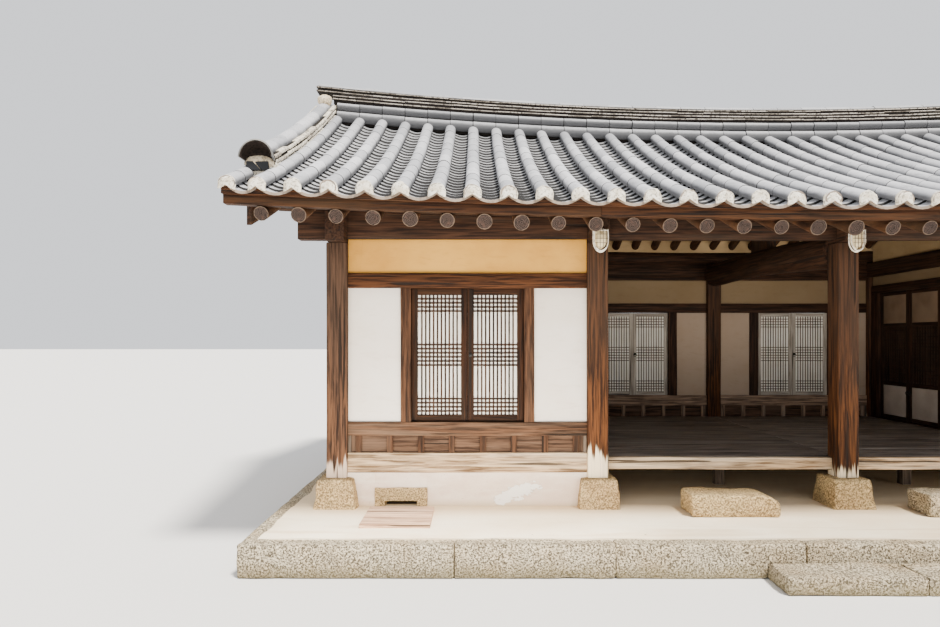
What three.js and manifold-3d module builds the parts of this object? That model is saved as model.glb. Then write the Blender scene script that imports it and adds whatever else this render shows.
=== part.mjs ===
// Hanok house: one row of four bays under a gable roof, on a stone platform.
// Two hall bays stand open in the middle, and a closed room fills the bay at each end.
// Millimetres. +X runs to the right along the front, +Y into the house, +Z up.
// The origin is the middle of the column grid, on the ground.
import * as THREE from "three";
import { mergeVertices } from "three/addons/utils/BufferGeometryUtils.js";
import Module from "manifold-3d";

const wasm = await Module();
wasm.setup();

// Air between pieces that touch.
const GAP = 0.3;

// Plan of the columns. A hall bay is eight ja of 303 mm.
const HALL_BAY = 2424;
const ROOM_BAY = 2530;
const GABLE_X = HALL_BAY + ROOM_BAY;
const COLUMN_X = [-GABLE_X, -HALL_BAY, 0, HALL_BAY, GABLE_X];
const COLUMN_Y = 1700;
const COLUMN_WIDTH = 200;
const BASE_STONE = { foot: 410, head: 350, top: 550, sunk: 60 };

// Stone platform and steps.
const PLATFORM = { halfLength: 5504, halfDepth: 2908, top: 270, curb: 260 };
const YARD_STEP = { halfLength: 1305, frontY: -3247, top: 134 };
const STEP_STONE_Y = [-2167, -1830];
const STEP_STONE_TOP = 475;
const STEP_STONE_LEFT = [-1645, -830];
const STEP_STONE_RIGHT = [525, 1250];
const VENT_COVER = { x: [-4610, -4000], y: [-2490, -1920], thickness: 40 };

// Heights shared by the walls.
const FLOOR = [615, 733];
const FOOT_BEAM = [598, 792];
const FRONT_SILL = [957, 1089];
const FRONT_LINTEL = [2393, 2539];
const BACK_SILL = [896, 1050];
const BACK_LINTEL = [2300, 2440];
const BACK_HEAD_BEAM_FOOT = 2790;
const TIE_FOOT = 2870;
const COLUMN_TOP = 2835;
const BEAM_TOP = 3030;

// Wall build-up: plaster panels between deeper timbers.
const TIMBER_DEPTH = 120;
const PLASTER_DEPTH = 70;
const DADO_POST = 58;
const DADO_PITCH = 302;
const DADO_SETBACK = 4;
const WINDOW_POST = 100;
const WINDOW_WIDTH = 1102;
const BACK_WINDOW_WIDTH = 1060;
const BACK_WINDOW_POST = 130;
const SASH = { thickness: 40, stile: 55, panel: 12 };
const VENT = { fromColumn: 364, width: 310, height: 52, lintelOver: 100, lintelHeight: 130, proud: 12 };

// Folding doors between the hall and each room.
const DOORS = { y: [-960, 1440], z: [750, 2585], leaves: 4, railZ: [1259, 2100] };
const DOOR_HEAD = 115;

// Roof timbers.
const BEAM_WIDTH = 185;
const BEAM_REACH = 1900;
const TIE_WIDTH = 120;
const TIE_OVERLAP = 15;
const TIE_END_SETBACK = 200;
const PURLIN_RADIUS = 95;
const RAFTER = { radius: 60, pitch: 295, eachSide: 18, slope: 0.448, tipY: 2887 };
const EAVE_BOARD = { y: [-2935, -2850], foot: 2835, top: 2918, halfLength: 5597 };
const ROOF_PITCH = Math.atan(RAFTER.slope);
const SEAT_RISE = (PURLIN_RADIUS + RAFTER.radius + GAP) / Math.cos(ROOF_PITCH);
const RAFTER_RISE = RAFTER.radius / Math.cos(ROOF_PITCH);
const PURLIN_Z = BEAM_TOP + GAP + PURLIN_RADIUS;
const RIDGE_PURLIN_Z = PURLIN_Z + RAFTER.slope * COLUMN_Y;
const PURLIN_CLEARANCE = 5;

// Hall crossbeam: a curved log, lower at the front than at the back.
const LOG_BEAM = { halfWidth: 140, halfHeight: 165, frontFoot: 2600, backFoot: 2700, arch: 40 };
const KING_POST = { thickness: 110, footHalf: 250, headHalf: 120 };

// Depth that two joined shapes share, so that they fuse into one.
const FUSE = 1;

// Rows of half-round tiles over the troughs, with their roots in the trough tiles.
const TILE_ROW = { pitch: 279.5, eachSide: 19, footHalf: 68, headHalf: 46, headDrop: 4, root: 12 };
const EDGE_ROW_X = 5540;
const SHORT_ROW_CLEARANCE = 10;

// Roof surface, measured at the crests of the round tiles.
const BED_END_X = 5535;
const VERGE_X = 5618;
const VERGE_STEP = 2;
const EAVE_END_Y = 3007;
const BED_EAVE_Y = 2990;
const RIDGE_FACE_Y = 180;
const EAVE_CREST = 3040;
const RIDGE_FOOT_CREST = 4385;
const EAVE_LIFT = 125;
const RIDGE_LIFT = 272;
const TROUGH_DROP = 95;
const VERGE_DROP = 126;
const SLOPE_SAG = 0.2;

// Ridges and gable boards.
const MAIN_RIDGE = { top: 4795, endLift: 300, footHalf: 175, headHalf: 110, halfLength: 5575 };
const RIDGE_CROWN = { depth: 210, footHalf: 150 };
const RIDGE_SUNK = 60;
const GABLE_RIDGE = { x: [5310, 5570], footY: 2550, rise: 155, sunk: 20 };
const BARGEBOARD = { x: 5541, thickness: 45, endY: 2450, eaveCover: 140, purlinCover: 50, clearance: 0.4 };

// Oval lamps on the beam ends over the hall.
const LAMP = { halfWidth: 80, halfHeight: 113, depth: 75, z: 2830 };

const LOOKS = {
  granite: { color: 0xb8b1a3, roughness: 0.9 },
  earth: { color: 0xc9b594, roughness: 0.95 },
  timber: { color: 0x6b4a33, roughness: 0.75 },
  board: { color: 0x5a463a, roughness: 0.6 },
  plaster: { color: 0xe2dcd2, roughness: 0.9 },
  paper: { color: 0xece6d8, roughness: 0.85 },
  tile: { color: 0x8d929a, roughness: 0.7 },
  lamp: { color: 0xe8dfc8, roughness: 0.4 },
};

const house = new THREE.Group();

function piece(name, geometry, look) {
  const material = new THREE.MeshStandardMaterial({ ...LOOKS[look], metalness: 0 });
  const mesh = new THREE.Mesh(geometry, material);
  mesh.name = name;
  house.add(mesh);
}

// Shape helpers

function block([x0, x1], [y0, y1], [z0, z1]) {
  const geometry = new THREE.BoxGeometry(x1 - x0, y1 - y0, z1 - z0);
  return geometry.translate((x0 + x1) / 2, (y0 + y1) / 2, (z0 + z1) / 2);
}

// A level outline of [x, y] points, raised from z0 to z1.
function raised(points, [z0, z1]) {
  const outline = new THREE.Shape(points.map(([x, y]) => new THREE.Vector2(x, y)));
  const geometry = new THREE.ExtrudeGeometry(outline, { depth: z1 - z0, bevelEnabled: false });
  return geometry.translate(0, 0, z0);
}

// An upright outline of [y, z] points, drawn out along X from x0 to x1.
function acrossX(points, [x0, x1]) {
  const outline = new THREE.Shape(points.map(([y, z]) => new THREE.Vector2(y, z)));
  const geometry = new THREE.ExtrudeGeometry(outline, { depth: x1 - x0, bevelEnabled: false });
  const turn = new THREE.Matrix4().makeBasis(
    new THREE.Vector3(0, 1, 0),
    new THREE.Vector3(0, 0, 1),
    new THREE.Vector3(1, 0, 0),
  );
  return geometry.applyMatrix4(turn).translate(x0, 0, 0);
}

// Moves every vertex to the place that a function of its old place gives.
function reshape(geometry, place) {
  const points = geometry.attributes.position;
  for (let i = 0; i < points.count; i += 1) {
    points.setXYZ(i, ...place(points.getX(i), points.getY(i), points.getZ(i)));
  }
  return geometry;
}

// The entry of a list that a unit box's coordinate, from -0.5 to 0.5, stands for.
function station(list, unit) {
  return list[Math.round((unit + 0.5) * (list.length - 1))];
}

function evenStations(from, to, count) {
  return Array.from({ length: count + 1 }, (_, i) => from + ((to - from) * i) / count);
}

function toSolid(geometry) {
  const bare = geometry.clone();
  bare.deleteAttribute("normal");
  bare.deleteAttribute("uv");
  const merged = mergeVertices(bare, 0.001);
  const vertProperties = Float32Array.from(merged.attributes.position.array);
  const triVerts = Uint32Array.from(merged.index.array);
  return new wasm.Manifold(new wasm.Mesh({ numProp: 3, vertProperties, triVerts }));
}

function toGeometry(solid) {
  const mesh = solid.getMesh();
  const geometry = new THREE.BufferGeometry();
  geometry.setAttribute("position", new THREE.BufferAttribute(mesh.vertProperties, 3));
  geometry.setIndex(new THREE.BufferAttribute(mesh.triVerts, 1));
  geometry.computeVertexNormals();
  return geometry;
}

function join(geometries, cutters = []) {
  const whole = geometries.map(toSolid).reduce((sum, part) => sum.add(part));
  return toGeometry(cutters.map(toSolid).reduce((rest, tool) => rest.subtract(tool), whole));
}

// Roof surfaces

// Rise of the eaves and purlins towards the gables.
function lift(x) {
  return EAVE_LIFT * (x / EDGE_ROW_X) ** 2;
}

// Height of the tile crests, which sag between the eave and the ridge.
function tileCrest(x, y) {
  const eave = EAVE_CREST + lift(x);
  const ridge = RIDGE_FOOT_CREST + RIDGE_LIFT * (x / EDGE_ROW_X) ** 2;
  const way = (EAVE_END_Y - Math.abs(y)) / (EAVE_END_Y - RIDGE_FACE_Y);
  return eave + (ridge - eave) * ((1 - SLOPE_SAG) * way + SLOPE_SAG * way * way);
}

function troughTop(x, y) {
  return tileCrest(x, y) - TROUGH_DROP;
}

function vergeFoot(x, y) {
  return tileCrest(x, y) - VERGE_DROP;
}

function rafterAxis(y) {
  return PURLIN_Z + SEAT_RISE + RAFTER.slope * (COLUMN_Y - Math.abs(y));
}

// Half the flat of a rafter's underside: lifts are read this far out, so that flats clear.
const FLAT_REACH = 36;

function rafterLift(x) {
  return lift(Math.abs(x) + FLAT_REACH);
}

function mainRidgeTop(x) {
  return MAIN_RIDGE.top + MAIN_RIDGE.endLift * (x / MAIN_RIDGE.halfLength) ** 2;
}

// Platform and steps

// A tapered square stone under a column, grown on every side where it serves as a cutter.
function baseStone(x, y, grow = 0) {
  const top = BASE_STONE.top + grow;
  const height = top - PLATFORM.top + BASE_STONE.sunk;
  const headRadius = (BASE_STONE.head + 2 * grow) / Math.SQRT2;
  const footRadius = (BASE_STONE.foot + 2 * grow) / Math.SQRT2;
  const stone = new THREE.CylinderGeometry(headRadius, footRadius, height, 4);
  stone.rotateY(Math.PI / 4).rotateX(Math.PI / 2);
  return stone.translate(x, y, top - height / 2);
}

function platformCore() {
  const reachX = PLATFORM.halfLength - PLATFORM.curb;
  const reachY = PLATFORM.halfDepth - PLATFORM.curb;
  const parts = [block([-reachX, reachX], [-reachY, reachY], [0, PLATFORM.top])];
  for (const x of COLUMN_X) {
    parts.push(baseStone(x, -COLUMN_Y), baseStone(x, COLUMN_Y));
  }
  return join(parts);
}

function platformCurb() {
  const innerX = PLATFORM.halfLength - PLATFORM.curb + GAP;
  const innerY = PLATFORM.halfDepth - PLATFORM.curb + GAP;
  const span = [0, PLATFORM.top];
  const outer = block(
    [-PLATFORM.halfLength, PLATFORM.halfLength],
    [-PLATFORM.halfDepth, PLATFORM.halfDepth],
    span,
  );
  const inner = block([-innerX, innerX], [-innerY, innerY], [-FUSE, PLATFORM.top + FUSE]);
  return join([outer], [inner]);
}

function groundPieces() {
  const stoneZ = [PLATFORM.top + GAP, STEP_STONE_TOP];
  const stepX = [-YARD_STEP.halfLength, YARD_STEP.halfLength];
  const stepY = [YARD_STEP.frontY, -PLATFORM.halfDepth - GAP];
  const coverZ = [PLATFORM.top + GAP, PLATFORM.top + GAP + VENT_COVER.thickness];
  piece("platform_core", platformCore(), "earth");
  piece("platform_curb", platformCurb(), "granite");
  piece("yard_step", block(stepX, stepY, [0, YARD_STEP.top]), "granite");
  piece("step_stone_left", block(STEP_STONE_LEFT, STEP_STONE_Y, stoneZ), "granite");
  piece("step_stone_right", block(STEP_STONE_RIGHT, STEP_STONE_Y, stoneZ), "granite");
  piece("vent_cover", block(VENT_COVER.x, VENT_COVER.y, coverZ), "board");
}

function columnPieces() {
  const half = COLUMN_WIDTH / 2;
  const span = [BASE_STONE.top + GAP, COLUMN_TOP - GAP];
  COLUMN_X.forEach((x, i) => {
    for (const [side, y] of [["front", -COLUMN_Y], ["back", COLUMN_Y]]) {
      const shaft = block([x - half, x + half], [y - half, y + half], span);
      piece(`column_${side}_${i + 1}`, shaft, "timber");
    }
  });
}

// Walls

// A timber or plaster block of a wall: along the wall, through it, and up.
function wallBlock(wall, u, depth, z) {
  const through = [wall.at - depth / 2, wall.at + depth / 2];
  return wall.along === "x" ? block(u, through, z) : block(through, u, z);
}

// Plaster between timber rails and posts, on an underwall down to the platform.
function wallParts(wall) {
  const run = [wall.from, wall.to];
  const foot = PLATFORM.top + GAP;
  const parts = [
    wallBlock(wall, run, PLASTER_DEPTH, [foot, wall.top]),
    wallBlock(wall, run, TIMBER_DEPTH, [foot, FOOT_BEAM[0]]),
  ];
  for (const rail of wall.rails) {
    parts.push(wallBlock(wall, run, TIMBER_DEPTH, rail));
  }
  for (const post of wall.posts) {
    parts.push(wallBlock(wall, post.u, TIMBER_DEPTH, post.z));
  }
  if (wall.dado) {
    const count = Math.floor((wall.to - wall.from - DADO_POST) / DADO_PITCH);
    const first = (wall.from + wall.to - count * DADO_PITCH) / 2;
    for (let i = 0; i <= count; i += 1) {
      const u = first + i * DADO_PITCH;
      const post = [u - DADO_POST / 2, u + DADO_POST / 2];
      parts.push(wallBlock(wall, post, TIMBER_DEPTH - 2 * DADO_SETBACK, wall.dado));
    }
  }
  return parts;
}

function windowPosts(centre, width, post, z) {
  const half = width / 2;
  return [
    { u: [centre - half - post, centre - half], z },
    { u: [centre + half, centre + half + post], z },
  ];
}

function bayRun(i) {
  const half = COLUMN_WIDTH / 2 + GAP;
  return { from: COLUMN_X[i] + half, to: COLUMN_X[i + 1] - half };
}

function bayStones(bay, y) {
  return [baseStone(COLUMN_X[bay], y, GAP), baseStone(COLUMN_X[bay + 1], y, GAP)];
}

function crossStones(x) {
  return [baseStone(x, -COLUMN_Y, GAP), baseStone(x, COLUMN_Y, GAP)];
}

// The front wall of a room, with its low air vent beside the outer column.
function frontWall(bay, ventSide) {
  const run = bayRun(bay);
  const centre = (run.from + run.to) / 2;
  const light = [FRONT_SILL[1], FRONT_LINTEL[0]];
  const wall = {
    along: "x",
    at: -COLUMN_Y,
    ...run,
    top: TIE_FOOT - GAP,
    rails: [FOOT_BEAM, FRONT_SILL, FRONT_LINTEL],
    posts: windowPosts(centre, WINDOW_WIDTH, WINDOW_POST, light),
    dado: [FOOT_BEAM[1], FRONT_SILL[0]],
  };
  const ventCentre = ventSide * (GABLE_X - COLUMN_WIDTH / 2 - VENT.fromColumn - VENT.width / 2);
  const ventHalf = VENT.width / 2;
  const ventTop = PLATFORM.top + VENT.height;
  const lintelHalf = ventHalf + VENT.lintelOver;
  const lintel = wallBlock(
    wall,
    [ventCentre - lintelHalf, ventCentre + lintelHalf],
    TIMBER_DEPTH + 2 * VENT.proud,
    [ventTop, ventTop + VENT.lintelHeight],
  );
  const hole = wallBlock(
    wall,
    [ventCentre - ventHalf, ventCentre + ventHalf],
    2 * TIMBER_DEPTH,
    [PLATFORM.top - FUSE, ventTop],
  );
  const half = WINDOW_WIDTH / 2;
  const opening = wallBlock(wall, [centre - half, centre + half], 2 * TIMBER_DEPTH, light);
  return join([...wallParts(wall), lintel], [hole, opening, ...bayStones(bay, -COLUMN_Y)]);
}

function backWall(bay) {
  const run = bayRun(bay);
  const centre = (run.from + run.to) / 2;
  const light = [BACK_SILL[1], BACK_LINTEL[0]];
  const wall = {
    along: "x",
    at: COLUMN_Y,
    ...run,
    top: TIE_FOOT - GAP,
    rails: [[FOOT_BEAM[0], FLOOR[1]], BACK_SILL, BACK_LINTEL, [BACK_HEAD_BEAM_FOOT, TIE_FOOT - GAP]],
    posts: windowPosts(centre, BACK_WINDOW_WIDTH, BACK_WINDOW_POST, light),
    dado: [FLOOR[1], BACK_SILL[0]],
  };
  const half = BACK_WINDOW_WIDTH / 2;
  const opening = wallBlock(wall, [centre - half, centre + half], 2 * TIMBER_DEPTH, light);
  return join(wallParts(wall), [opening, ...bayStones(bay, COLUMN_Y)]);
}

// The frame over a cross wall: the tie beam, the king post and the plaster up to the rafters.
function beamFrame(x) {
  const inner = Math.abs(x) - BEAM_WIDTH / 2;
  const rise = lift(inner);
  const beamX = [x - BEAM_WIDTH / 2, x + BEAM_WIDTH / 2];
  const panelX = [x - PLASTER_DEPTH / 2, x + PLASTER_DEPTH / 2];
  const beamTop = BEAM_TOP + rise;
  const beam = block(beamX, [-BEAM_REACH, BEAM_REACH], [COLUMN_TOP, beamTop]);
  const endY = COLUMN_Y - COLUMN_WIDTH / 2;
  const notchY = PURLIN_RADIUS + PURLIN_CLEARANCE;
  const notchZ = RIDGE_PURLIN_Z + rise - PURLIN_RADIUS - GAP;
  const under = (y) => rafterAxis(y) - RAFTER_RISE + rise - GAP;
  const gable = acrossX(
    [
      [-endY, beamTop - FUSE],
      [endY, beamTop - FUSE],
      [endY, under(endY)],
      [notchY, under(notchY)],
      [notchY, notchZ],
      [-notchY, notchZ],
      [-notchY, under(notchY)],
      [-endY, under(endY)],
    ],
    panelX,
  );
  const king = block(
    [x - KING_POST.thickness / 2, x + KING_POST.thickness / 2],
    [-KING_POST.headHalf, KING_POST.headHalf],
    [beamTop - FUSE, notchZ],
  );
  return join([beam, gable, king]);
}

function crossRun() {
  const reach = COLUMN_Y - COLUMN_WIDTH / 2 - GAP;
  return { from: -reach, to: reach };
}

function gableWall(x) {
  const wall = {
    along: "y",
    at: x,
    ...crossRun(),
    top: COLUMN_TOP - GAP,
    rails: [FOOT_BEAM, FRONT_SILL, FRONT_LINTEL],
    posts: [{ u: [-WINDOW_POST, WINDOW_POST], z: [FRONT_SILL[1], FRONT_LINTEL[0]] }],
    dado: null,
  };
  return join(wallParts(wall), crossStones(x));
}

// The wall between the hall and a room, open for the folding doors.
function partition(x) {
  const run = crossRun();
  const wall = {
    along: "y",
    at: x,
    ...run,
    top: COLUMN_TOP - GAP,
    rails: [[FOOT_BEAM[0], DOORS.z[0]], [DOORS.z[1], DOORS.z[1] + DOOR_HEAD]],
    posts: [
      { u: [DOORS.y[0] - WINDOW_POST, DOORS.y[0]], z: DOORS.z },
      { u: [DOORS.y[1], run.to], z: DOORS.z },
    ],
    dado: null,
  };
  const opening = wallBlock(wall, DOORS.y, 2 * TIMBER_DEPTH, DOORS.z);
  return join(wallParts(wall), [opening, ...crossStones(x)]);
}

// A row of closed leaves: thin paper panels in timber stiles and rails.
function leaves({ along, at, u, z, count, rails }) {
  const sash = { along, at };
  const [from, to] = [u[0] + GAP, u[1] - GAP];
  const [foot, head] = [z[0] + GAP, z[1] - GAP];
  const parts = [wallBlock(sash, [from, to], SASH.panel, [foot, head])];
  const width = (to - from) / count;
  for (let i = 0; i < count; i += 1) {
    const start = from + i * width;
    parts.push(wallBlock(sash, [start, start + SASH.stile], SASH.thickness, [foot, head]));
    parts.push(wallBlock(sash, [start + width - SASH.stile, start + width], SASH.thickness, [foot, head]));
  }
  parts.push(wallBlock(sash, [from, to], SASH.thickness, [foot, foot + SASH.stile]));
  parts.push(wallBlock(sash, [from, to], SASH.thickness, [head - SASH.stile, head]));
  for (const height of rails) {
    const span = [height - SASH.stile / 2, height + SASH.stile / 2];
    parts.push(wallBlock(sash, [from, to], SASH.thickness, span));
  }
  return join(parts);
}

function windowIn(bay, at, width, z) {
  const run = bayRun(bay);
  const centre = (run.from + run.to) / 2;
  const u = [centre - width / 2, centre + width / 2];
  return leaves({ along: "x", at, u, z, count: 2, rails: [] });
}

function foldingDoors(x) {
  return leaves({ along: "y", at: x, u: DOORS.y, z: DOORS.z, count: DOORS.leaves, rails: DOORS.railZ });
}

function wallPieces() {
  piece("front_wall_left", frontWall(0, -1), "plaster");
  piece("front_wall_right", frontWall(3, 1), "plaster");
  const frontLight = [FRONT_SILL[1], FRONT_LINTEL[0]];
  piece("window_front_left", windowIn(0, -COLUMN_Y, WINDOW_WIDTH, frontLight), "paper");
  piece("window_front_right", windowIn(3, -COLUMN_Y, WINDOW_WIDTH, frontLight), "paper");
  const backLight = [BACK_SILL[1], BACK_LINTEL[0]];
  for (let bay = 0; bay < 4; bay += 1) {
    piece(`back_wall_${bay + 1}`, backWall(bay), "plaster");
    piece(`window_back_${bay + 1}`, windowIn(bay, COLUMN_Y, BACK_WINDOW_WIDTH, backLight), "paper");
  }
  for (const [side, sign] of [["left", -1], ["right", 1]]) {
    piece(`gable_wall_${side}`, gableWall(sign * GABLE_X), "plaster");
    piece(`hall_partition_${side}`, partition(sign * HALL_BAY), "plaster");
    piece(`folding_doors_${side}`, foldingDoors(sign * HALL_BAY), "paper");
  }
}

// Floors

function hallFloor() {
  const wallX = HALL_BAY - TIMBER_DEPTH / 2 - GAP;
  const postX = HALL_BAY - COLUMN_WIDTH / 2 - GAP;
  const middleX = COLUMN_WIDTH / 2 + GAP;
  const postY = COLUMN_Y - COLUMN_WIDTH / 2 - GAP;
  const frontY = -COLUMN_Y;
  const backY = COLUMN_Y - TIMBER_DEPTH / 2 - GAP;
  const outline = [
    [-postX, frontY],
    [-middleX, frontY],
    [-middleX, -postY],
    [middleX, -postY],
    [middleX, frontY],
    [postX, frontY],
    [postX, -postY],
    [wallX, -postY],
    [wallX, postY],
    [postX, postY],
    [postX, backY],
    [middleX, backY],
    [middleX, postY],
    [-middleX, postY],
    [-middleX, backY],
    [-postX, backY],
    [-postX, postY],
    [-wallX, postY],
    [-wallX, -postY],
    [-postX, -postY],
  ];
  return raised(outline, FLOOR);
}

function roomFloor(sign) {
  const reachY = COLUMN_Y - COLUMN_WIDTH / 2 - GAP;
  const innerX = HALL_BAY + TIMBER_DEPTH / 2 + GAP;
  const outerX = GABLE_X - TIMBER_DEPTH / 2 - GAP;
  const x = sign > 0 ? [innerX, outerX] : [-outerX, -innerX];
  return block(x, [-reachY, reachY], FLOOR);
}

// Roof timbers

// A purlin: a log that rises towards the gables, on a tie between the beam ends.
function purlin(y, z, hasTie) {
  const endX = BARGEBOARD.x - GAP;
  const log = new THREE.CylinderGeometry(PURLIN_RADIUS, PURLIN_RADIUS, 2 * endX, 10, 12);
  log.rotateZ(Math.PI / 2).rotateX(Math.PI / 2);
  reshape(log, (px, py, pz) => [px, py + y, pz + z + lift(px)]);
  if (!hasTie) {
    return join([log]);
  }
  const clear = BEAM_WIDTH / 2 + GAP;
  const parts = [log];
  const stops = [-endX, ...COLUMN_X, endX];
  for (let i = 0; i + 1 < stops.length; i += 1) {
    const from = stops[i] + (i === 0 ? TIE_END_SETBACK : clear);
    const to = stops[i + 1] - (i + 2 === stops.length ? TIE_END_SETBACK : clear);
    const tie = new THREE.BoxGeometry(to - from, TIE_WIDTH, 1, 2, 1, 1);
    const head = BEAM_TOP + TIE_OVERLAP;
    tie.translate((from + to) / 2, y, 0);
    parts.push(reshape(tie, (px, py, pz) => [px, py, pz > 0 ? head + lift(px) : TIE_FOOT]));
  }
  return join(parts);
}

function logBeam() {
  const reach = COLUMN_Y - COLUMN_WIDTH / 2 - GAP;
  const log = new THREE.CylinderGeometry(1, 1, 1, 8, 8);
  log.rotateY(Math.PI / 8);
  reshape(log, (px, py, pz) => {
    const way = py + 0.5;
    const foot = LOG_BEAM.frontFoot + (LOG_BEAM.backFoot - LOG_BEAM.frontFoot) * way;
    const axis = foot + LOG_BEAM.halfHeight + LOG_BEAM.arch * Math.sin(Math.PI * way);
    return [px * LOG_BEAM.halfWidth, (2 * way - 1) * reach, axis + pz * LOG_BEAM.halfHeight];
  });
  return log;
}

function hallCrossbeam() {
  const headX = [-BEAM_WIDTH / 2, BEAM_WIDTH / 2];
  const headZ = [COLUMN_TOP, BEAM_TOP];
  const innerY = COLUMN_Y - COLUMN_WIDTH;
  const headFoot = RIDGE_PURLIN_Z - PURLIN_RADIUS - GAP;
  const kingFoot = LOG_BEAM.backFoot + LOG_BEAM.halfHeight;
  const king = acrossX(
    [
      [-KING_POST.footHalf, kingFoot],
      [KING_POST.footHalf, kingFoot],
      [KING_POST.headHalf, headFoot],
      [-KING_POST.headHalf, headFoot],
    ],
    [-KING_POST.thickness / 2, KING_POST.thickness / 2],
  );
  return join([
    logBeam(),
    block(headX, [-BEAM_REACH, -innerY], headZ),
    block(headX, [innerY, BEAM_REACH], headZ),
    king,
  ]);
}

// One rafter of the front slope, from its tip to the plane of the ridge.
function rafter(x) {
  const corner = RAFTER.radius / Math.cos(Math.PI / 6);
  const log = new THREE.CylinderGeometry(corner, corner, 1, 6, 1);
  log.rotateY(Math.PI / 6);
  const rise = rafterLift(x);
  const ridgeY = -GAP / 2;
  return reshape(log, (across, end, up) => {
    if (end > 0) {
      return [x + across, ridgeY, rafterAxis(ridgeY) + rise + up / Math.cos(ROOF_PITCH)];
    }
    const tipZ = rafterAxis(RAFTER.tipY) + rise;
    return [
      x + across,
      -RAFTER.tipY - up * Math.sin(ROOF_PITCH),
      tipZ + up * Math.cos(ROOF_PITCH),
    ];
  });
}

// The eave board that runs over the rafter tips and ties them into one frame.
function eaveBoard() {
  const board = new THREE.BoxGeometry(2 * EAVE_BOARD.halfLength, 1, 1, 12, 1, 1);
  return reshape(board, (px, py, pz) => [
    px,
    py > 0 ? EAVE_BOARD.y[1] : EAVE_BOARD.y[0],
    (pz > 0 ? EAVE_BOARD.top : EAVE_BOARD.foot) + lift(px),
  ]);
}

function rafterFrame() {
  const parts = [eaveBoard()];
  for (let k = -RAFTER.eachSide; k <= RAFTER.eachSide; k += 1) {
    parts.push(rafter(k * RAFTER.pitch));
  }
  return join(parts);
}

// Roof covering

// Stations of the slope: the underside steps up over the eave board and at each verge.
const SLOPE_COURSES = [-2060, -1120];
const BED_STEP_Y = EAVE_BOARD.y[1] + GAP + 0.1;
const SLOPE_Y = [-BED_EAVE_Y, BED_STEP_Y, BED_STEP_Y + 2 * VERGE_STEP, ...SLOPE_COURSES, -GAP / 2];
const HALF_SLOPE_X = [BED_END_X - VERGE_STEP, BED_END_X + VERGE_STEP, VERGE_X];
const SLOPE_X = [
  ...HALF_SLOPE_X.map((x) => -x).reverse(),
  ...evenStations(-GABLE_RIDGE.x[0], GABLE_RIDGE.x[0], 8),
  ...HALF_SLOPE_X,
];

function slopeUnderside(x, y) {
  if (Math.abs(x) > BED_END_X) {
    return vergeFoot(x, y);
  }
  if (y < BED_STEP_Y + FUSE) {
    return EAVE_BOARD.top + lift(Math.abs(x) + 2 * FLAT_REACH) + GAP;
  }
  return rafterAxis(y) + RAFTER_RISE + lift(Math.abs(x) + 2 * FLAT_REACH) + GAP;
}

// The bed and trough tiles of the front slope, from the eave to the ridge.
function slopeBed(alongY = SLOPE_Y) {
  const slab = new THREE.BoxGeometry(1, 1, 1, SLOPE_X.length - 1, alongY.length - 1, 1);
  return reshape(slab, (u, v, w) => {
    const x = station(SLOPE_X, u);
    const y = station(alongY, v);
    return [x, y, w > 0 ? troughTop(x, y) : slopeUnderside(x, y)];
  });
}

// A row of round tiles that runs up the front slope, cut off where it would pass a limit.
function tileRow(x, alongY, limit = VERGE_X) {
  const row = new THREE.BoxGeometry(1, 1, 1, 1, alongY.length - 1, 1);
  return reshape(row, (u, v, w) => {
    const half = w > 0 ? TILE_ROW.headHalf : TILE_ROW.footHalf;
    const y = station(alongY, v);
    const z = w > 0 ? tileCrest(x, y) - TILE_ROW.headDrop : troughTop(x, y) - TILE_ROW.root;
    const edge = x + Math.sign(u) * half;
    return [Math.sign(edge) * Math.min(Math.abs(edge), limit), y, z];
  });
}

// The front slope. Two rows at each verge end below the gable ridge, and the inner one shows beside it.
function roofSlope() {
  const parts = [slopeBed()];
  const full = [-EAVE_END_Y, ...SLOPE_COURSES, -RIDGE_FACE_Y];
  const short = [-EAVE_END_Y, -GABLE_RIDGE.footY - SHORT_ROW_CLEARANCE];
  for (let k = -TILE_ROW.eachSide; k <= TILE_ROW.eachSide; k += 1) {
    parts.push(tileRow(k * TILE_ROW.pitch, full, GABLE_RIDGE.x[0] - GAP));
  }
  for (const sign of [-1, 1]) {
    parts.push(tileRow(sign * TILE_ROW.pitch * TILE_ROW.eachSide, short));
    parts.push(tileRow(sign * EDGE_ROW_X, short));
  }
  return join(parts);
}

// Both beds a hair higher and meeting at the ridge, to cut what rests on them.
function slopeCutters() {
  const front = slopeBed([...SLOPE_Y, FUSE]).translate(0, 0, GAP);
  const back = front.clone().rotateZ(Math.PI);
  return [front, back];
}

function ridgeLength(halfLength, footZ, footHalf) {
  const course = new THREE.BoxGeometry(2 * halfLength, 1, 1, 12, 1, 1);
  return reshape(course, (px, py, pz) => {
    const half = pz > 0 ? MAIN_RIDGE.headHalf : footHalf;
    return [px, Math.sign(py) * half, pz > 0 ? mainRidgeTop(px) : footZ(px)];
  });
}

function mainRidge() {
  const slopeSide = (x) => troughTop(x, MAIN_RIDGE.footHalf) - RIDGE_SUNK;
  const crownFoot = (x) => mainRidgeTop(x) - RIDGE_CROWN.depth + GAP;
  const body = ridgeLength(GABLE_RIDGE.x[0] - GAP, slopeSide, MAIN_RIDGE.footHalf);
  const crown = ridgeLength(MAIN_RIDGE.halfLength, crownFoot, RIDGE_CROWN.footHalf);
  return join([body, crown], slopeCutters());
}

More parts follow.
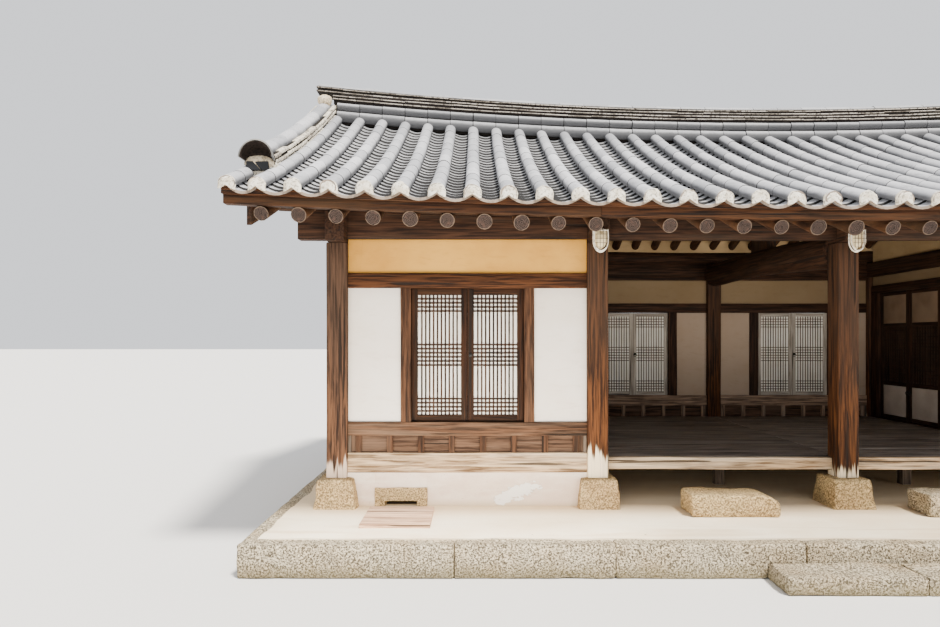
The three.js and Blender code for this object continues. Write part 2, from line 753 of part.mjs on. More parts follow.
// The ridge down both slopes along a gable, passing under the crown of the main ridge.
function gableRidge(sign) {
  const stationsX = sign > 0 ? GABLE_RIDGE.x : [-GABLE_RIDGE.x[1], -GABLE_RIDGE.x[0]];
  const half = [-GABLE_RIDGE.footY, ...SLOPE_COURSES, -RIDGE_CROWN.footHalf];
  const stationsY = [...half, 0, ...half.map((y) => -y).reverse()];
  const course = new THREE.BoxGeometry(1, 1, 1, 1, stationsY.length - 1, 1);
  const raw = reshape(course, (u, v, w) => {
    const x = station(stationsX, u);
    const y = station(stationsY, v);
    const top = Math.min(tileCrest(x, y) + GABLE_RIDGE.rise, mainRidgeTop(x) - RIDGE_CROWN.depth);
    return [x, y, w > 0 ? top : troughTop(x, y) - GABLE_RIDGE.sunk];
  });
  return join([raw], slopeCutters());
}

// The two boards under a verge, deepest at the top, in front of the purlin ends.
function bargeboard(sign) {
  const x = BARGEBOARD.x;
  const upper = (y) => vergeFoot(x, y) - GAP - BARGEBOARD.clearance;
  const eaveFoot = rafterAxis(BARGEBOARD.endY) + lift(x) - RAFTER_RISE - BARGEBOARD.eaveCover;
  const peakFoot = RIDGE_PURLIN_Z + lift(x) - PURLIN_RADIUS - BARGEBOARD.purlinCover;
  const half = [-BARGEBOARD.endY, ...SLOPE_COURSES];
  const stationsY = [...half, 0, ...half.map((y) => -y).reverse()];
  const top = stationsY.map((y) => [y, upper(y)]).reverse();
  const outline = [[-BARGEBOARD.endY, eaveFoot], [0, peakFoot], [BARGEBOARD.endY, eaveFoot], ...top];
  const from = sign > 0 ? x : -x - BARGEBOARD.thickness;
  return acrossX(outline, [from, from + BARGEBOARD.thickness]);
}

function roofPieces() {
  piece("purlin_front", purlin(-COLUMN_Y, PURLIN_Z, true), "timber");
  piece("purlin_back", purlin(COLUMN_Y, PURLIN_Z, true), "timber");
  piece("purlin_ridge", purlin(0, RIDGE_PURLIN_Z, false), "timber");
  piece("gable_beam_left", beamFrame(-GABLE_X), "timber");
  piece("gable_beam_right", beamFrame(GABLE_X), "timber");
  piece("hall_beam_left", beamFrame(-HALL_BAY), "timber");
  piece("hall_beam_right", beamFrame(HALL_BAY), "timber");
  piece("hall_crossbeam", hallCrossbeam(), "timber");
  const rafters = rafterFrame();
  piece("rafters_front", rafters, "timber");
  piece("rafters_back", rafters.clone().rotateZ(Math.PI), "timber");
  const slope = roofSlope();
  piece("roof_front", slope, "tile");
  piece("roof_back", slope.clone().rotateZ(Math.PI), "tile");
  piece("main_ridge", mainRidge(), "tile");
  piece("gable_ridge_left", gableRidge(-1), "tile");
  piece("gable_ridge_right", gableRidge(1), "tile");
  piece("bargeboard_left", bargeboard(-1), "timber");
  piece("bargeboard_right", bargeboard(1), "timber");
}

// Lamps

function lamp(x) {
  const profile = [[0, 0], [1, 0], [1, 0.35], [0.75, 0.8], [0, 1]];
  const shell = new THREE.LatheGeometry(profile.map(([r, h]) => new THREE.Vector2(r, h)), 10);
  shell.scale(LAMP.halfWidth, LAMP.depth, LAMP.halfHeight).rotateZ(Math.PI);
  return shell.translate(x, -BEAM_REACH - GAP, LAMP.z);
}

function lampPieces() {
  piece("lamp_left", lamp(-HALL_BAY), "lamp");
  piece("lamp_middle", lamp(0), "lamp");
  piece("lamp_right", lamp(HALL_BAY), "lamp");
}

groundPieces();
columnPieces();
wallPieces();
piece("hall_floor", hallFloor(), "board");
piece("room_floor_left", roomFloor(-1), "board");
piece("room_floor_right", roomFloor(1), "board");
roofPieces();
lampPieces();

export default house;
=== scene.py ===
"""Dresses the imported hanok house: tiled roof, timber frame, plaster walls, paper windows and platform."""
import math
import random

import bpy
import numpy as np
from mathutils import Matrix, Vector, noise


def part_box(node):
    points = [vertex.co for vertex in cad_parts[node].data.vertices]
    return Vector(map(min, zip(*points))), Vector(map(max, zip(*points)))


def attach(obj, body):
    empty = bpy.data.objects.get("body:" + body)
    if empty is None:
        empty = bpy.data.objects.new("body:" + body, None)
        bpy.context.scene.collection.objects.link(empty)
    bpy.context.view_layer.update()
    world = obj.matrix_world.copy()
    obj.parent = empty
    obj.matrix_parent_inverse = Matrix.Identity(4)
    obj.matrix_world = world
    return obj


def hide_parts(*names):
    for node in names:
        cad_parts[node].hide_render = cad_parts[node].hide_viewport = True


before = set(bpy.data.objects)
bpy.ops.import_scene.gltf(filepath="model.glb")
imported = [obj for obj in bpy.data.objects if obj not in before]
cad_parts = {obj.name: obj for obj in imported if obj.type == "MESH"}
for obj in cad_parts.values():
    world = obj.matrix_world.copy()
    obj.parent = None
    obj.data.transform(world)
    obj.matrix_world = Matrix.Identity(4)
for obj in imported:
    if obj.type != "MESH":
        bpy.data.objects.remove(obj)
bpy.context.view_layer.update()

# Chance is seeded, so that each run makes the same house.
chance = random.Random(11)
dice = np.random.RandomState(11)


# Values taken from the frame

def middle(node):
    lo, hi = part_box(node)
    return (lo + hi) / 2


COLUMN_X = [middle(f"column_front_{i}").x for i in range(1, 6)]
COLUMN_Y = middle("column_back_1").y
COLUMN_LOW, COLUMN_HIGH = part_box("column_front_3")
HALF_COLUMN = COLUMN_HIGH.x
COLUMN_TOP = COLUMN_HIGH.z
STONE_TOP = COLUMN_LOW.z
PLATFORM_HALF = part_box("platform_curb")[1]
PLATFORM_TOP = PLATFORM_HALF.z
EARTH_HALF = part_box("platform_core")[1]
FLOOR_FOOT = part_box("hall_floor")[0].z
FLOOR_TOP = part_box("hall_floor")[1].z
HALL_X = COLUMN_X[3]
GABLE_X = COLUMN_X[4]

# Roof surface, measured at the crests of the round tiles
EDGE_ROW = 5.540
EAVE_CREST = 3.040
RIDGE_CREST = 4.385
EAVE_LIFT = 0.125
RIDGE_LIFT = 0.272
EAVE_END = 3.007
RIDGE_FACE = 0.180
SLOPE_SAG = 0.2

# Tiles
ROW_PITCH = 0.2795
ROWS_EACH_SIDE = 19
LAST_ROW = ROW_PITCH * ROWS_EACH_SIDE
ROW_RADIUS = 0.065
ROUND_TILES = 10
TROUGH_EAVE = 2.990
TROUGH_HEAD = 0.100
COURSES = 25
EDGE_COURSES = 5
EDGE_TILES = 2
COURSE = (TROUGH_EAVE - TROUGH_HEAD) / COURSES
TROUGH_DEPTH = 0.122
TROUGH_SAG = 0.060
TILE_THICKNESS = 0.022
GABLE_FOOT = 2.550
EDGE_TROUGH = (EDGE_ROW + LAST_ROW) / 2
EDGE_PITCH = EDGE_ROW - LAST_ROW

# Rows and troughs along the eave, as first place, step and count
MAIN_ROWS = (-LAST_ROW, ROW_PITCH, 2 * ROWS_EACH_SIDE + 1)
EDGE_ROWS = (-EDGE_ROW, 2 * EDGE_ROW, 2)
MAIN_TROUGHS = (ROW_PITCH / 2 - LAST_ROW, ROW_PITCH, 2 * ROWS_EACH_SIDE)
EDGE_TROUGHS = (-EDGE_TROUGH, 2 * EDGE_TROUGH, 2)

# Roof timbers
RAFTER_RADIUS = 0.061
RAFTER_PITCH = 0.295
RAFTERS_EACH_SIDE = 18
RAFTER_TIP = 2.887
RAFTER_SLOPE = 0.448
ROOF_ANGLE = math.atan(RAFTER_SLOPE)
PURLIN_RADIUS = 0.095
PURLIN_Z = 3.1253
RIDGE_PURLIN_Z = PURLIN_Z + RAFTER_SLOPE * COLUMN_Y
SOLID_RAFTER_RADIUS = 0.0603
RAFTER_SEAT = (PURLIN_RADIUS + SOLID_RAFTER_RADIUS) / math.cos(ROOF_ANGLE)
RAFTER_TOP = SOLID_RAFTER_RADIUS / math.cos(ROOF_ANGLE)
PURLIN_END = 5.540
EAVE_BOARD_Y = (-2.935, -2.850)
EAVE_BOARD_Z = (2.835, 2.918)
EAVE_BOARD_END = 5.597
VERGE_PITCH = 0.50
TIE_FOOT = 2.870
TIE_HALF = 0.060
TIE_INSET = 0.105
BEAM_TOP = 3.030
BEAM_HALF = 0.0925
BEAM_REACH = 1.900
KING_POST_HALF = 0.055

# Lap of plaster, boards and posts into what holds them
LAP = 0.004

# Walls, with rails as foot and head
WALL_DEPTH = 0.120
PANEL_DEPTH = 0.070
FOOT_BEAM = (0.598, 0.792)
FRONT_SILL = (0.957, 1.089)
FRONT_LINTEL = (2.393, 2.539)
BACK_SILL = (0.896, 1.050)
BACK_LINTEL = (2.300, 2.440)
BACK_HEAD = 2.790
WINDOW_POST = 0.100
BACK_WINDOW_POST = 0.130
DADO_PITCH = 0.302
DADO_HALF_POST = 0.029
DADO_BLOCK = 0.034
DADO_BOARD_DEPTH = 0.064
VENT_HALF = 0.155
VENT_JAMB = 0.100
VENT_INSET = 0.364
VENT_TOP = PLATFORM_TOP + 0.052
VENT_LINTEL = 0.130

# Middle of the flake of white lime on the left front wall's foot
FLAKE_X = -3.19
FLAKE_Z = 0.405

# Windows and doors
WINDOW_HALF = 0.551
BACK_WINDOW_HALF = 0.530
SASH_GAP = 0.003
SASH_DEPTH = 0.040
LATTICE_DEPTH = 0.024
LATTICE_PITCH = 0.040
WINDOW_UPRIGHTS = 10
DOORS_Y = (-0.960, 1.440)
DOORS_Z = (0.750, 2.585)
DOOR_RAILS = (1.259, 2.100)
DOOR_HEAD = 0.115
DOOR_LEAVES = 4
DOOR_STILE = 0.055
DOOR_GAP = 0.0015
DOOR_BAR = 0.011
DOOR_UPRIGHTS = 9
DOOR_CELLS = 17
KNOB_INSET = 0.028
KNOB_Z = 1.16

# Floors and stones
BOARD_DEPTH = 0.045
EDGE_BOARD = 0.062
JOIST_HALF = 0.050
FLOOR_POSTS_X = (-0.88, 1.21)
FLOOR_POSTS_Y = (-0.86, -0.76)
HALL_BOARDS = 15
ROOM_BOARDS = 12
STONE_HALF = 0.205


# Shader maths

class Value:
    """A value in a material. Sums on it add Math nodes."""

    def __init__(self, paint, socket):
        self.paint = paint
        self.socket = socket

    def maths(self, operation, first, second):
        return self.paint.node("Math", {"operation": operation}, {0: first, 1: second})

    def __add__(self, other):
        return self.maths("ADD", self, other)

    def __sub__(self, other):
        return self.maths("SUBTRACT", self, other)

    def __rsub__(self, other):
        return self.maths("SUBTRACT", other, self)

    def __mul__(self, other):
        return self.maths("MULTIPLY", self, other)

    __radd__ = __add__
    __rmul__ = __mul__


class Paint:
    """A material in the making."""

    def __init__(self, name, rough=0.8, gloss=0.15, pitch=0):
        self.pitch = pitch
        self.material = bpy.data.materials.new(name)
        self.material.use_nodes = True
        self.tree = self.material.node_tree
        self.shader = self.tree.nodes["Principled BSDF"]
        self.shader.inputs["Roughness"].default_value = rough
        self.shader.inputs["Specular IOR Level"].default_value = gloss

    def feed(self, socket, value):
        if isinstance(value, Value):
            self.tree.links.new(value.socket, socket)
        elif socket.type == "RGBA":
            socket.default_value = (*value, 1)
        else:
            socket.default_value = value

    def node(self, kind, settings=None, sockets=None, out=0):
        made = self.tree.nodes.new("ShaderNode" + kind)
        for key, value in (settings or {}).items():
            setattr(made, key, value)
        for key, value in (sockets or {}).items():
            self.feed(made.inputs[key], value)
        return Value(self, made.outputs[out])

    def tone(self, name="tone"):
        return self.node("Attribute", {"attribute_name": name}, out=2)

    def place(self):
        """Object coordinates, raised away from the middle by the pitch of a sloping board."""
        spot = self.node("TexCoord", out=3)
        if not self.pitch:
            return spot
        x, y, z = (self.node("SeparateXYZ", sockets={0: spot}, out=index) for index in range(3))
        return self.node("CombineXYZ", sockets={0: x, 1: y, 2: z + self.size(y) * self.pitch})

    def axis(self, index):
        return self.node("SeparateXYZ", sockets={0: self.place()}, out=index)

    def away(self, index):
        """Distance from the middle along an axis."""
        return self.size(self.axis(index))

    def noise(self, scale, detail=4, shift=None, rough=0.55, swirl=0.0):
        """Noise on the object's coordinates, scaled evenly or along each axis, and moved by a tone."""
        spot = self.place()
        if shift is not None:
            step = self.node("CombineXYZ", sockets={0: shift, 1: shift * 1.7, 2: shift * 0.6})
            spot = self.node("VectorMath", {"operation": "ADD"}, {0: spot, 1: step})
        spot = self.node("Mapping", sockets={"Vector": spot, "Scale": even(scale)})
        sockets = {"Vector": spot, "Scale": 1.0, "Detail": detail, "Roughness": rough, "Distortion": swirl}
        return self.node("TexNoise", sockets=sockets)

    def cracks(self, scale):
        """Distance to the nearest edge of a net of cells."""
        spot = self.node("Mapping", sockets={"Vector": self.place(), "Scale": even(scale)})
        return self.node("TexVoronoi", {"feature": "DISTANCE_TO_EDGE"}, {"Vector": spot, "Scale": 1.0})

    def size(self, value):
        """A value without its sign."""
        return self.node("Math", {"operation": "ABSOLUTE"}, {0: value})

    def facing(self, index):
        """How far the surface faces along an axis."""
        return self.node("SeparateXYZ", sockets={0: self.node("TexCoord", out=1)}, out=index)

    def band(self, value, low, high):
        """0 below low and 1 above high, eased between."""
        return self.node("MapRange", {"interpolation_type": "SMOOTHSTEP"}, {0: value, 1: low, 2: high})

    def mix(self, factor, first, second, blend="MIX"):
        settings = {"data_type": "RGBA", "blend_type": blend}
        return self.node("Mix", settings, {0: factor, 6: first, 7: second}, out=2)

    def finish(self, colour, height=None, strength=0.6, distance=0.004, rough=None):
        self.feed(self.shader.inputs["Base Color"], colour)
        if rough is not None:
            self.feed(self.shader.inputs["Roughness"], rough)
        if height is not None:
            sockets = {"Strength": strength, "Distance": distance, "Height": height}
            self.feed(self.shader.inputs["Normal"], self.node("Bump", sockets=sockets))
        return self.material


def even(scale):
    """A scale for each axis, from one number or from three."""
    return scale if isinstance(scale, tuple) else (scale,) * 3


def scaled(colour, amount):
    """A colour made darker or paler, never paler than lime."""
    return tuple(min(amount * part, 0.92) for part in colour)


def stretched(axis, along, across):
    """A texture scale that is low along one axis and high across it."""
    return tuple(along if name == axis else across for name in "XYZ")


# Materials

def wood(name, axis, dark, light, pale, weathering, rough=0.72, pale_foot=None, pitch=0):
    """Old timber with its grain along an axis: streaks, weathered patches and fine cracks. On columns, warm
    painted sunlight low in the grain, and a pale foot that is partly painted sunlight.
    """
    paint = Paint(f"{name}_{axis.lower()}", rough, pitch=pitch)
    tone = paint.tone()
    grain = paint.noise(stretched(axis, 2.2, 46), 8, tone * 23, 0.62, 0.5)
    streak = paint.noise(stretched(axis, 0.5, 9), 5, tone * 31, 0.6, 0.8)
    fibre = paint.noise(stretched(axis, 1.4, 120), 3, tone * 17)
    split = paint.noise(stretched(axis, 0.7, 26), 2, tone * 41, 0.4)
    cracks = paint.band(split, 0.64, 0.665)
    base = paint.mix(paint.band(grain, 0.36, 0.65), dark, light)
    bleach_and_sunlit_foot = paint.band(streak + (tone - 0.5) * 0.16, 0.44, 0.68) * weathering
    if pale_foot is not None:
        height, fade = pale_foot
        # Darker and greyer higher up the column. Lower down, warm orange painted sunlight in the grain.
        upper_band = paint.band(paint.axis(2) + (streak - 0.5) * 1.1 + (grain - 0.5) * 0.5, 1.1, 2.3)
        base = paint.mix(upper_band * 0.5, base, (0.060, 0.036, 0.023))
        base = paint.mix((1 - upper_band) * paint.band(grain, 0.4, 0.7) * 0.3, base, (0.24, 0.082, 0.017))
        # The pale foot on the outer faces is partly bleached wood and partly painted sunlight.
        drip = paint.noise(stretched(axis, 0.9, 34), 3, tone * 29)
        foot = paint.axis(2) + (streak - 0.5) * 0.3 + (drip - 0.5) * 0.42 + paint.tone("dark_foot") * 0.16
        low = 1 - paint.band(foot, height, height + fade)
        outer = paint.band(paint.away(1), 1.60, 1.64)
        bleach_and_sunlit_foot = bleach_and_sunlit_foot + low * outer * (grain * 0.5 + 0.75)
    base = paint.mix(paint.band(bleach_and_sunlit_foot, 0, 1), base, pale)
    base = paint.mix((tone - 0.2) * 0.42, base, scaled(dark, 0.45))
    base = paint.mix(paint.band(fibre, 0.52, 0.7) * 0.35, base, scaled(dark, 0.3))
    base = paint.mix(cracks * 0.85, base, (0.012, 0.008, 0.006))
    height = grain * 0.5 + fibre * 0.35 + streak * 0.3 - cracks * 1.5
    return paint.finish(base, height, 0.7, 0.004, grain * 0.25 + (rough - 0.1))


def wood_family(name, *looks, **more):
    return {axis: wood(name, axis, *looks, **more) for axis in "XYZ"}


def rafter_wood():
    """Round rafter timber, whose sawn tips show grey rings and radial checks."""
    paint = Paint("rafter_wood", 0.75)
    tone = paint.tone()
    ring = paint.tone("ring")
    grain = paint.noise((40, 2.0, 14), 7, tone * 23, 0.6, 0.5)
    streak = paint.noise((7, 0.6, 5), 4, tone * 31)
    side = paint.mix(paint.band(grain, 0.3, 0.7), (0.014, 0.006, 0.003), (0.085, 0.037, 0.016))
    side = paint.mix(paint.band(streak, 0.45, 0.7) * 0.5, side, (0.11, 0.065, 0.035))
    side = paint.mix((tone - 0.1) * 0.4, side, (0.012, 0.006, 0.0035))
    wander = paint.noise(26, 4, tone * 13)
    wave = paint.node("Math", {"operation": "SINE"}, {0: (ring + wander * 0.5) * 34})
    end = paint.mix(paint.band(wave, -0.6, 0.9), (0.009, 0.006, 0.005), (0.064, 0.042, 0.034))
    check = paint.band(paint.noise((90, 90, 14), 2, tone * 19), 0.60, 0.66)
    end = paint.mix(check * 0.8, end, (0.008, 0.005, 0.004))
    end = paint.mix(paint.band(wander, 0.5, 0.75) * 0.6, end, (0.085, 0.045, 0.032))
    rim = paint.band(ring + (wander - 0.5) * 0.3, 0.86, 0.96)
    end = paint.mix(rim * 0.3, end, (0.30, 0.22, 0.15))
    base = paint.mix(paint.band(ring, 0.985, 0.995), end, side)
    height = grain * 0.5 + wave * 0.08 - check * 0.8
    return paint.finish(base, height, 0.7, 0.004)


def clay_tile(name, dark, light, lips=False):
    """Fired clay with pale dust and weather stains, painted shade low on its flanks and painted shadow on the
    face of each lip.
    """
    paint = Paint(name, 0.62, 0.3)
    tone = paint.tone()
    cloud = paint.noise(1.6, 5)
    speck = paint.noise(95, 3)
    stain = paint.noise((16, 5, 16), 4, tone * 9, 0.6)
    base = paint.mix(paint.band(tone * 0.45 + cloud * 0.55, 0.2, 0.8), dark, light)
    base = paint.mix(paint.band(stain, 0.52, 0.72) * 0.4, base, scaled(dark, 0.45))
    base = paint.mix(paint.band(speck, 0.60, 0.75) * 0.35, base, scaled(light, 1.35))
    mottle = paint.noise(44, 5, tone * 3, 0.75)
    base = paint.mix(paint.band(mottle, 0.54, 0.66) * 0.45, base, scaled(dark, 0.5))
    high = 1 - paint.band(paint.away(1) + (mottle - 0.5) * 1.6, 0.25, 1.3)
    base = paint.mix(high * 0.45, base, scaled(dark, 0.55))
    # Painted shade: faces that turn sideways or down are darkened, most of all low on the flanks.
    flank_shade = 1 - paint.band(paint.facing(2) + (stain - 0.5) * 0.5, 0.0, 0.62)
    base = paint.mix(flank_shade * 0.85, base, scaled(dark, 0.16))
    if lips:
        # Painted shadow: the lip faces, which face along the slope, are made near-black. The first course's
        # lip at the eave is then given a pale stained tone.
        lip = paint.band(paint.size(paint.facing(1)), 0.7, 0.85)
        base = paint.mix(lip * 0.95, base, (0.013, 0.012, 0.012))
        eave = paint.band(paint.away(1), TROUGH_EAVE - 0.0145, TROUGH_EAVE - 0.0105) * lip
        base = paint.mix(eave * 0.95, base, (0.28, 0.222, 0.175))
        base = paint.mix(eave * paint.band(stain, 0.42, 0.62) * 0.6, base, (0.13, 0.097, 0.072))
    height = speck * 0.35 + stain * 0.4 + cloud * 0.3
    return paint.finish(base, height, 0.5, 0.0035, speck * 0.3 + 0.45)


def ridge_tile(name, light, dark, dust):
    """Edges of flat ridge tiles, dusty, with dark chips, and painted shade on the faces that look down."""
    paint = Paint(name, 0.85)
    tone = paint.tone()
    cloud = paint.noise((9, 9, 22), 5, tone * 15, 0.65)
    chip = paint.noise(38, 3, tone * 7)
    base = paint.mix(paint.band(tone, 0.1, 0.9), light, dark)
    base = paint.mix(paint.band(cloud, 0.42, 0.66) * 0.6, base, dust)
    base = paint.mix(paint.band(chip, 0.52, 0.62) * 0.8, base, (0.06, 0.048, 0.04))
    # Painted shade: faces that look down are made near-black.
    under = 1 - paint.band(paint.facing(2), -0.6, -0.2)
    base = paint.mix(under * 0.9, base, (0.03, 0.025, 0.02))
    return paint.finish(base, cloud * 0.6 + chip * 0.5, 0.8, 0.006)


def mortar(name, light, dark, lump=0.005):
    """Lime mortar, lumpy, stained and flecked with dirt."""
    paint = Paint(name, 0.92)
    cloud = paint.noise(13, 6, paint.tone() * 9, 0.75)
    grit = paint.noise(48, 4, rough=0.7)
    base = paint.mix(paint.band(cloud, 0.38, 0.62), light, dark)
    base = paint.mix(paint.band(grit, 0.52, 0.60) * 0.75, base, scaled(dark, 0.3))
    return paint.finish(base, cloud * 0.8 + grit * 0.35, 0.7, lump)


def plaster(name, light, stained, shade, inside=None):
    """Smooth lime plaster with faint trowel marks and hair cracks, darkened on its inner side as painted
    shade.
    """
    paint = Paint(name, 0.88)
    cloud = paint.noise(1.3, 5, paint.tone() * 9, 0.55)
    trowel = paint.noise((5, 5, 17), 4, paint.tone() * 5, 0.6, 0.6)
    grit = paint.noise(130, 2)
    vein = paint.cracks(2.1)
    base = paint.mix(paint.band(cloud, 0.35, 0.72), light, stained)
    base = paint.mix(paint.band(trowel, 0.5, 0.78) * 0.35, base, shade)
    hair = (1 - paint.band(vein, 0.0, 0.004)) * paint.band(cloud, 0.52, 0.6)
    base = paint.mix(hair * 0.35, base, shade)
    # Painted shade: the faces inside the house are darkened by the inside tint.
    if inside is not None:
        inside_shade = 1 - paint.band(paint.away(1), COLUMN_Y - 0.02, COLUMN_Y - 0.01)
        inside_shade = inside_shade * (1 - paint.band(paint.away(0), GABLE_X - 0.02, GABLE_X - 0.01))
        base = paint.mix(inside_shade, base, inside, "MULTIPLY")
    return paint.finish(base, trowel * 0.5 + cloud * 0.5 + grit * 0.15, 0.5, 0.004)


def soffit():
    """The underside between the rafters: plaster over the hall, brown boards under the eaves."""
    paint = Paint("soffit", 0.85)
    cloud = paint.noise(1.3, 5)
    grain = paint.noise((2.0, 40, 40), 6, swirl=0.5)
    inside = paint.mix(paint.band(cloud, 0.35, 0.72), (0.52, 0.37, 0.20), (0.42, 0.29, 0.15))
    board = paint.mix(paint.band(grain, 0.35, 0.68), (0.030, 0.014, 0.007), (0.15, 0.070, 0.030))
    eaves = paint.band(paint.away(1), COLUMN_Y - 0.02, COLUMN_Y)
    eaves = paint.band(eaves + paint.band(paint.away(0), GABLE_X, GABLE_X + 0.02), 0, 1)
    return paint.finish(paint.mix(eaves, inside, board), cloud * 0.5 + grain * 0.5 * eaves, 0.5, 0.004)


def granite(name, light, dark, warm, fleck):
    """Dressed granite: salt and pepper grains, chisel pits, and damp dirt low down."""
    paint = Paint(name, 0.85)
    grain = paint.noise(150, 2, rough=0.7)
    pit = paint.noise(66, 3, rough=0.7)
    blotch = paint.noise(9, 5, rough=0.7)
    cloud = paint.noise(2.6, 6, paint.tone() * 12, 0.6)
    base = paint.mix(paint.band(cloud, 0.35, 0.7), light, warm)
    base = paint.mix(paint.band(blotch, 0.48, 0.68) * 0.3, base, scaled(dark, 1.8))
    base = paint.mix(paint.band(pit, 0.49, 0.56) * fleck, base, scaled(dark, 0.8))
    base = paint.mix(paint.band(grain, 0.53, 0.61) * fleck * 0.8, base, scaled(dark, 0.5))
    base = paint.mix((1 - paint.band(pit, 0.34, 0.42)) * 0.5, base, scaled(light, 1.2))
    soil = 1 - paint.band(paint.axis(2) + blotch * 0.22, 0.12, 0.26)
    base = paint.mix(soil * 0.55, base, (0.20, 0.16, 0.075))
    height = grain * 0.4 - paint.band(pit, 0.4, 0.65) * 0.9 + cloud * 0.5 + blotch * 0.9
    return paint.finish(base, height, 0.9, 0.008)


def trodden_earth():
    """The platform's lime and earth top: smooth and cream, tan in drifts, with painted shade by the walls and
    painted shadow under the rooms.
    """
    paint = Paint("trodden_earth", 0.93)
    cloud = paint.noise((0.9, 1.5, 1), 6, rough=0.6)
    drift = paint.noise((0.5, 5.5, 1), 4, swirl=0.8)
    grit = paint.noise(80, 3)
    base = paint.mix(paint.band(cloud, 0.32, 0.7), (0.90, 0.80, 0.62), (0.78, 0.64, 0.44))
    base = paint.mix(paint.band(drift, 0.48, 0.72) * 0.5, base, (0.62, 0.46, 0.28))
    base = paint.mix(paint.band(grit, 0.6, 0.72) * 0.35, base, (0.42, 0.31, 0.20))
    # Painted shade: the earth under the eaves, near the walls, is made tan.
    inner = paint.away(1) + (cloud - 0.5) * 0.5
    base = paint.mix((1 - paint.band(inner, 1.85, 2.25)) * 0.6, base, (0.74, 0.54, 0.31))
    # Painted shadow: the earth under the rooms, inside the wall feet, is made near-black.
    crawl_shade = 1 - paint.band(paint.away(1), COLUMN_Y - 0.03, COLUMN_Y)
    crawl_shade = crawl_shade * paint.band(paint.away(0), HALL_X, HALL_X + 0.03)
    crawl_shade = crawl_shade * (1 - paint.band(paint.away(0), GABLE_X, GABLE_X + 0.03))
    base = paint.mix(crawl_shade * 0.97, base, (0.05, 0.037, 0.025))
    return paint.finish(base, cloud * 0.5 + grit * 0.5, 0.6, 0.004)


def clay_render():
    """Clay render of the wall feet, pinkish tan, with a flake of white lime laid bare on the front left."""
    paint = Paint("clay_render", 0.92)
    cloud = paint.noise((2.4, 2.4, 4.5), 6, paint.tone() * 9, 0.65)
    streak = paint.noise((1.1, 1.1, 13), 4, rough=0.6)
    grit = paint.noise(60, 4)
    base = paint.mix(paint.band(cloud, 0.34, 0.66), (0.86, 0.74, 0.62), (0.76, 0.60, 0.48))
    base = paint.mix(paint.band(streak, 0.52, 0.7) * 0.5, base, (0.90, 0.82, 0.69))
    base = paint.mix(paint.band(grit, 0.6, 0.74) * 0.3, base, (0.34, 0.24, 0.16))
    damp = 1 - paint.band(paint.axis(2) + cloud * 0.14, 0.33, 0.43)
    base = paint.mix(damp * 0.55, base, (0.52, 0.40, 0.22))
    beside = paint.axis(0) - FLAKE_X
    along = beside * 4.0
    up = (paint.axis(2) - FLAKE_Z - beside * 0.32) * 11.5
    tear = paint.noise((9, 9, 15), 6, rough=0.72)
    flake = 1 - paint.band(along * along + up * up + (tear - 0.5) * 4.6, 0.70, 0.80)
    base = paint.mix(flake, base, (0.92, 0.89, 0.83))
    return paint.finish(base, cloud * 0.8 + grit * 0.35 - flake * 0.8, 0.7, 0.008)


def window_paper(name, light, stained):
    """Mulberry paper: long fibres and faint water marks."""
    paint = Paint(name, 0.9)
    cloud = paint.noise(3, 4, paint.tone() * 8)
    fibre = paint.noise((60, 60, 240), 4, swirl=1.6)
    base = paint.mix(paint.band(cloud, 0.35, 0.75), light, stained)
    base = paint.mix(paint.band(fibre, 0.56, 0.72) * 0.3, base, scaled(stained, 0.8))
    return paint.finish(base, fibre, 0.25, 0.001)


def lamp_cover():
    paint = Paint("milky_cover", 0.35, 0.5)
    cloud = paint.noise(14, 3)
    base = paint.mix(paint.band(cloud, 0.4, 0.7), (0.88, 0.76, 0.48), (0.74, 0.58, 0.32))
    return paint.finish(base, cloud, 0.1, 0.001)


def black_iron():
    paint = Paint("black_iron", 0.5, 0.5)
    paint.shader.inputs["Metallic"].default_value = 0.8
    wear = paint.noise(70, 4)
    base = paint.mix(paint.band(wear, 0.45, 0.68), (0.018, 0.017, 0.016), (0.0396, 0.0374, 0.0352))
    return paint.finish(base, wear, 0.3, 0.001)


OLD_TONES = ((0.012, 0.0055, 0.003), (0.060, 0.027, 0.014), (0.10, 0.07, 0.048), 0.3)
OLD_WOOD = wood_family("old_timber", *OLD_TONES)
VERGE_WOOD = wood("verge_timber", "Y", *OLD_TONES, pitch=VERGE_PITCH)
RED_WOOD = wood_family("red_timber", (0.016, 0.0058, 0.0022), (0.094, 0.035, 0.013),
                       (0.13, 0.07, 0.035), 0.35)
POST_WOOD = wood_family("window_post", (0.018, 0.0085, 0.0045), (0.110, 0.050, 0.025),
                        (0.17, 0.105, 0.068), 0.4)
SASH_WOOD = wood_family("sash_timber", (0.008, 0.0032, 0.0016), (0.058, 0.022, 0.009),
                        (0.09, 0.048, 0.024), 0.3)
# Height and fade of the columns' pale foot, which is partly bleaching and partly painted sunlight
PALE_FOOT = (0.735, 0.10)
COLUMN_TONES = ((0.015, 0.0055, 0.0022), (0.112, 0.042, 0.0155), (0.92, 0.78, 0.54), 0.03)
COLUMN_WOOD = wood("column_timber", "Z", *COLUMN_TONES, pale_foot=PALE_FOOT)
AGED_TONES = ((0.020, 0.010, 0.006), (0.125, 0.065, 0.038), (0.58, 0.45, 0.35), 0.05)
AGED_COLUMN = wood("aged_column_timber", "Z", *AGED_TONES, pale_foot=PALE_FOOT)
DARK_WOOD = wood_family("dark_timber", (0.010, 0.005, 0.003), (0.052, 0.024, 0.013), (0.08, 0.05, 0.03), 0.3)
PALE_WOOD = wood_family("bleached_timber", (0.13, 0.075, 0.036), (0.68, 0.48, 0.29), (0.86, 0.71, 0.51), 0.6)
GREY_WOOD = wood_family("grey_timber", (0.055, 0.040, 0.030), (0.20, 0.15, 0.11), (0.30, 0.24, 0.18), 0.5)
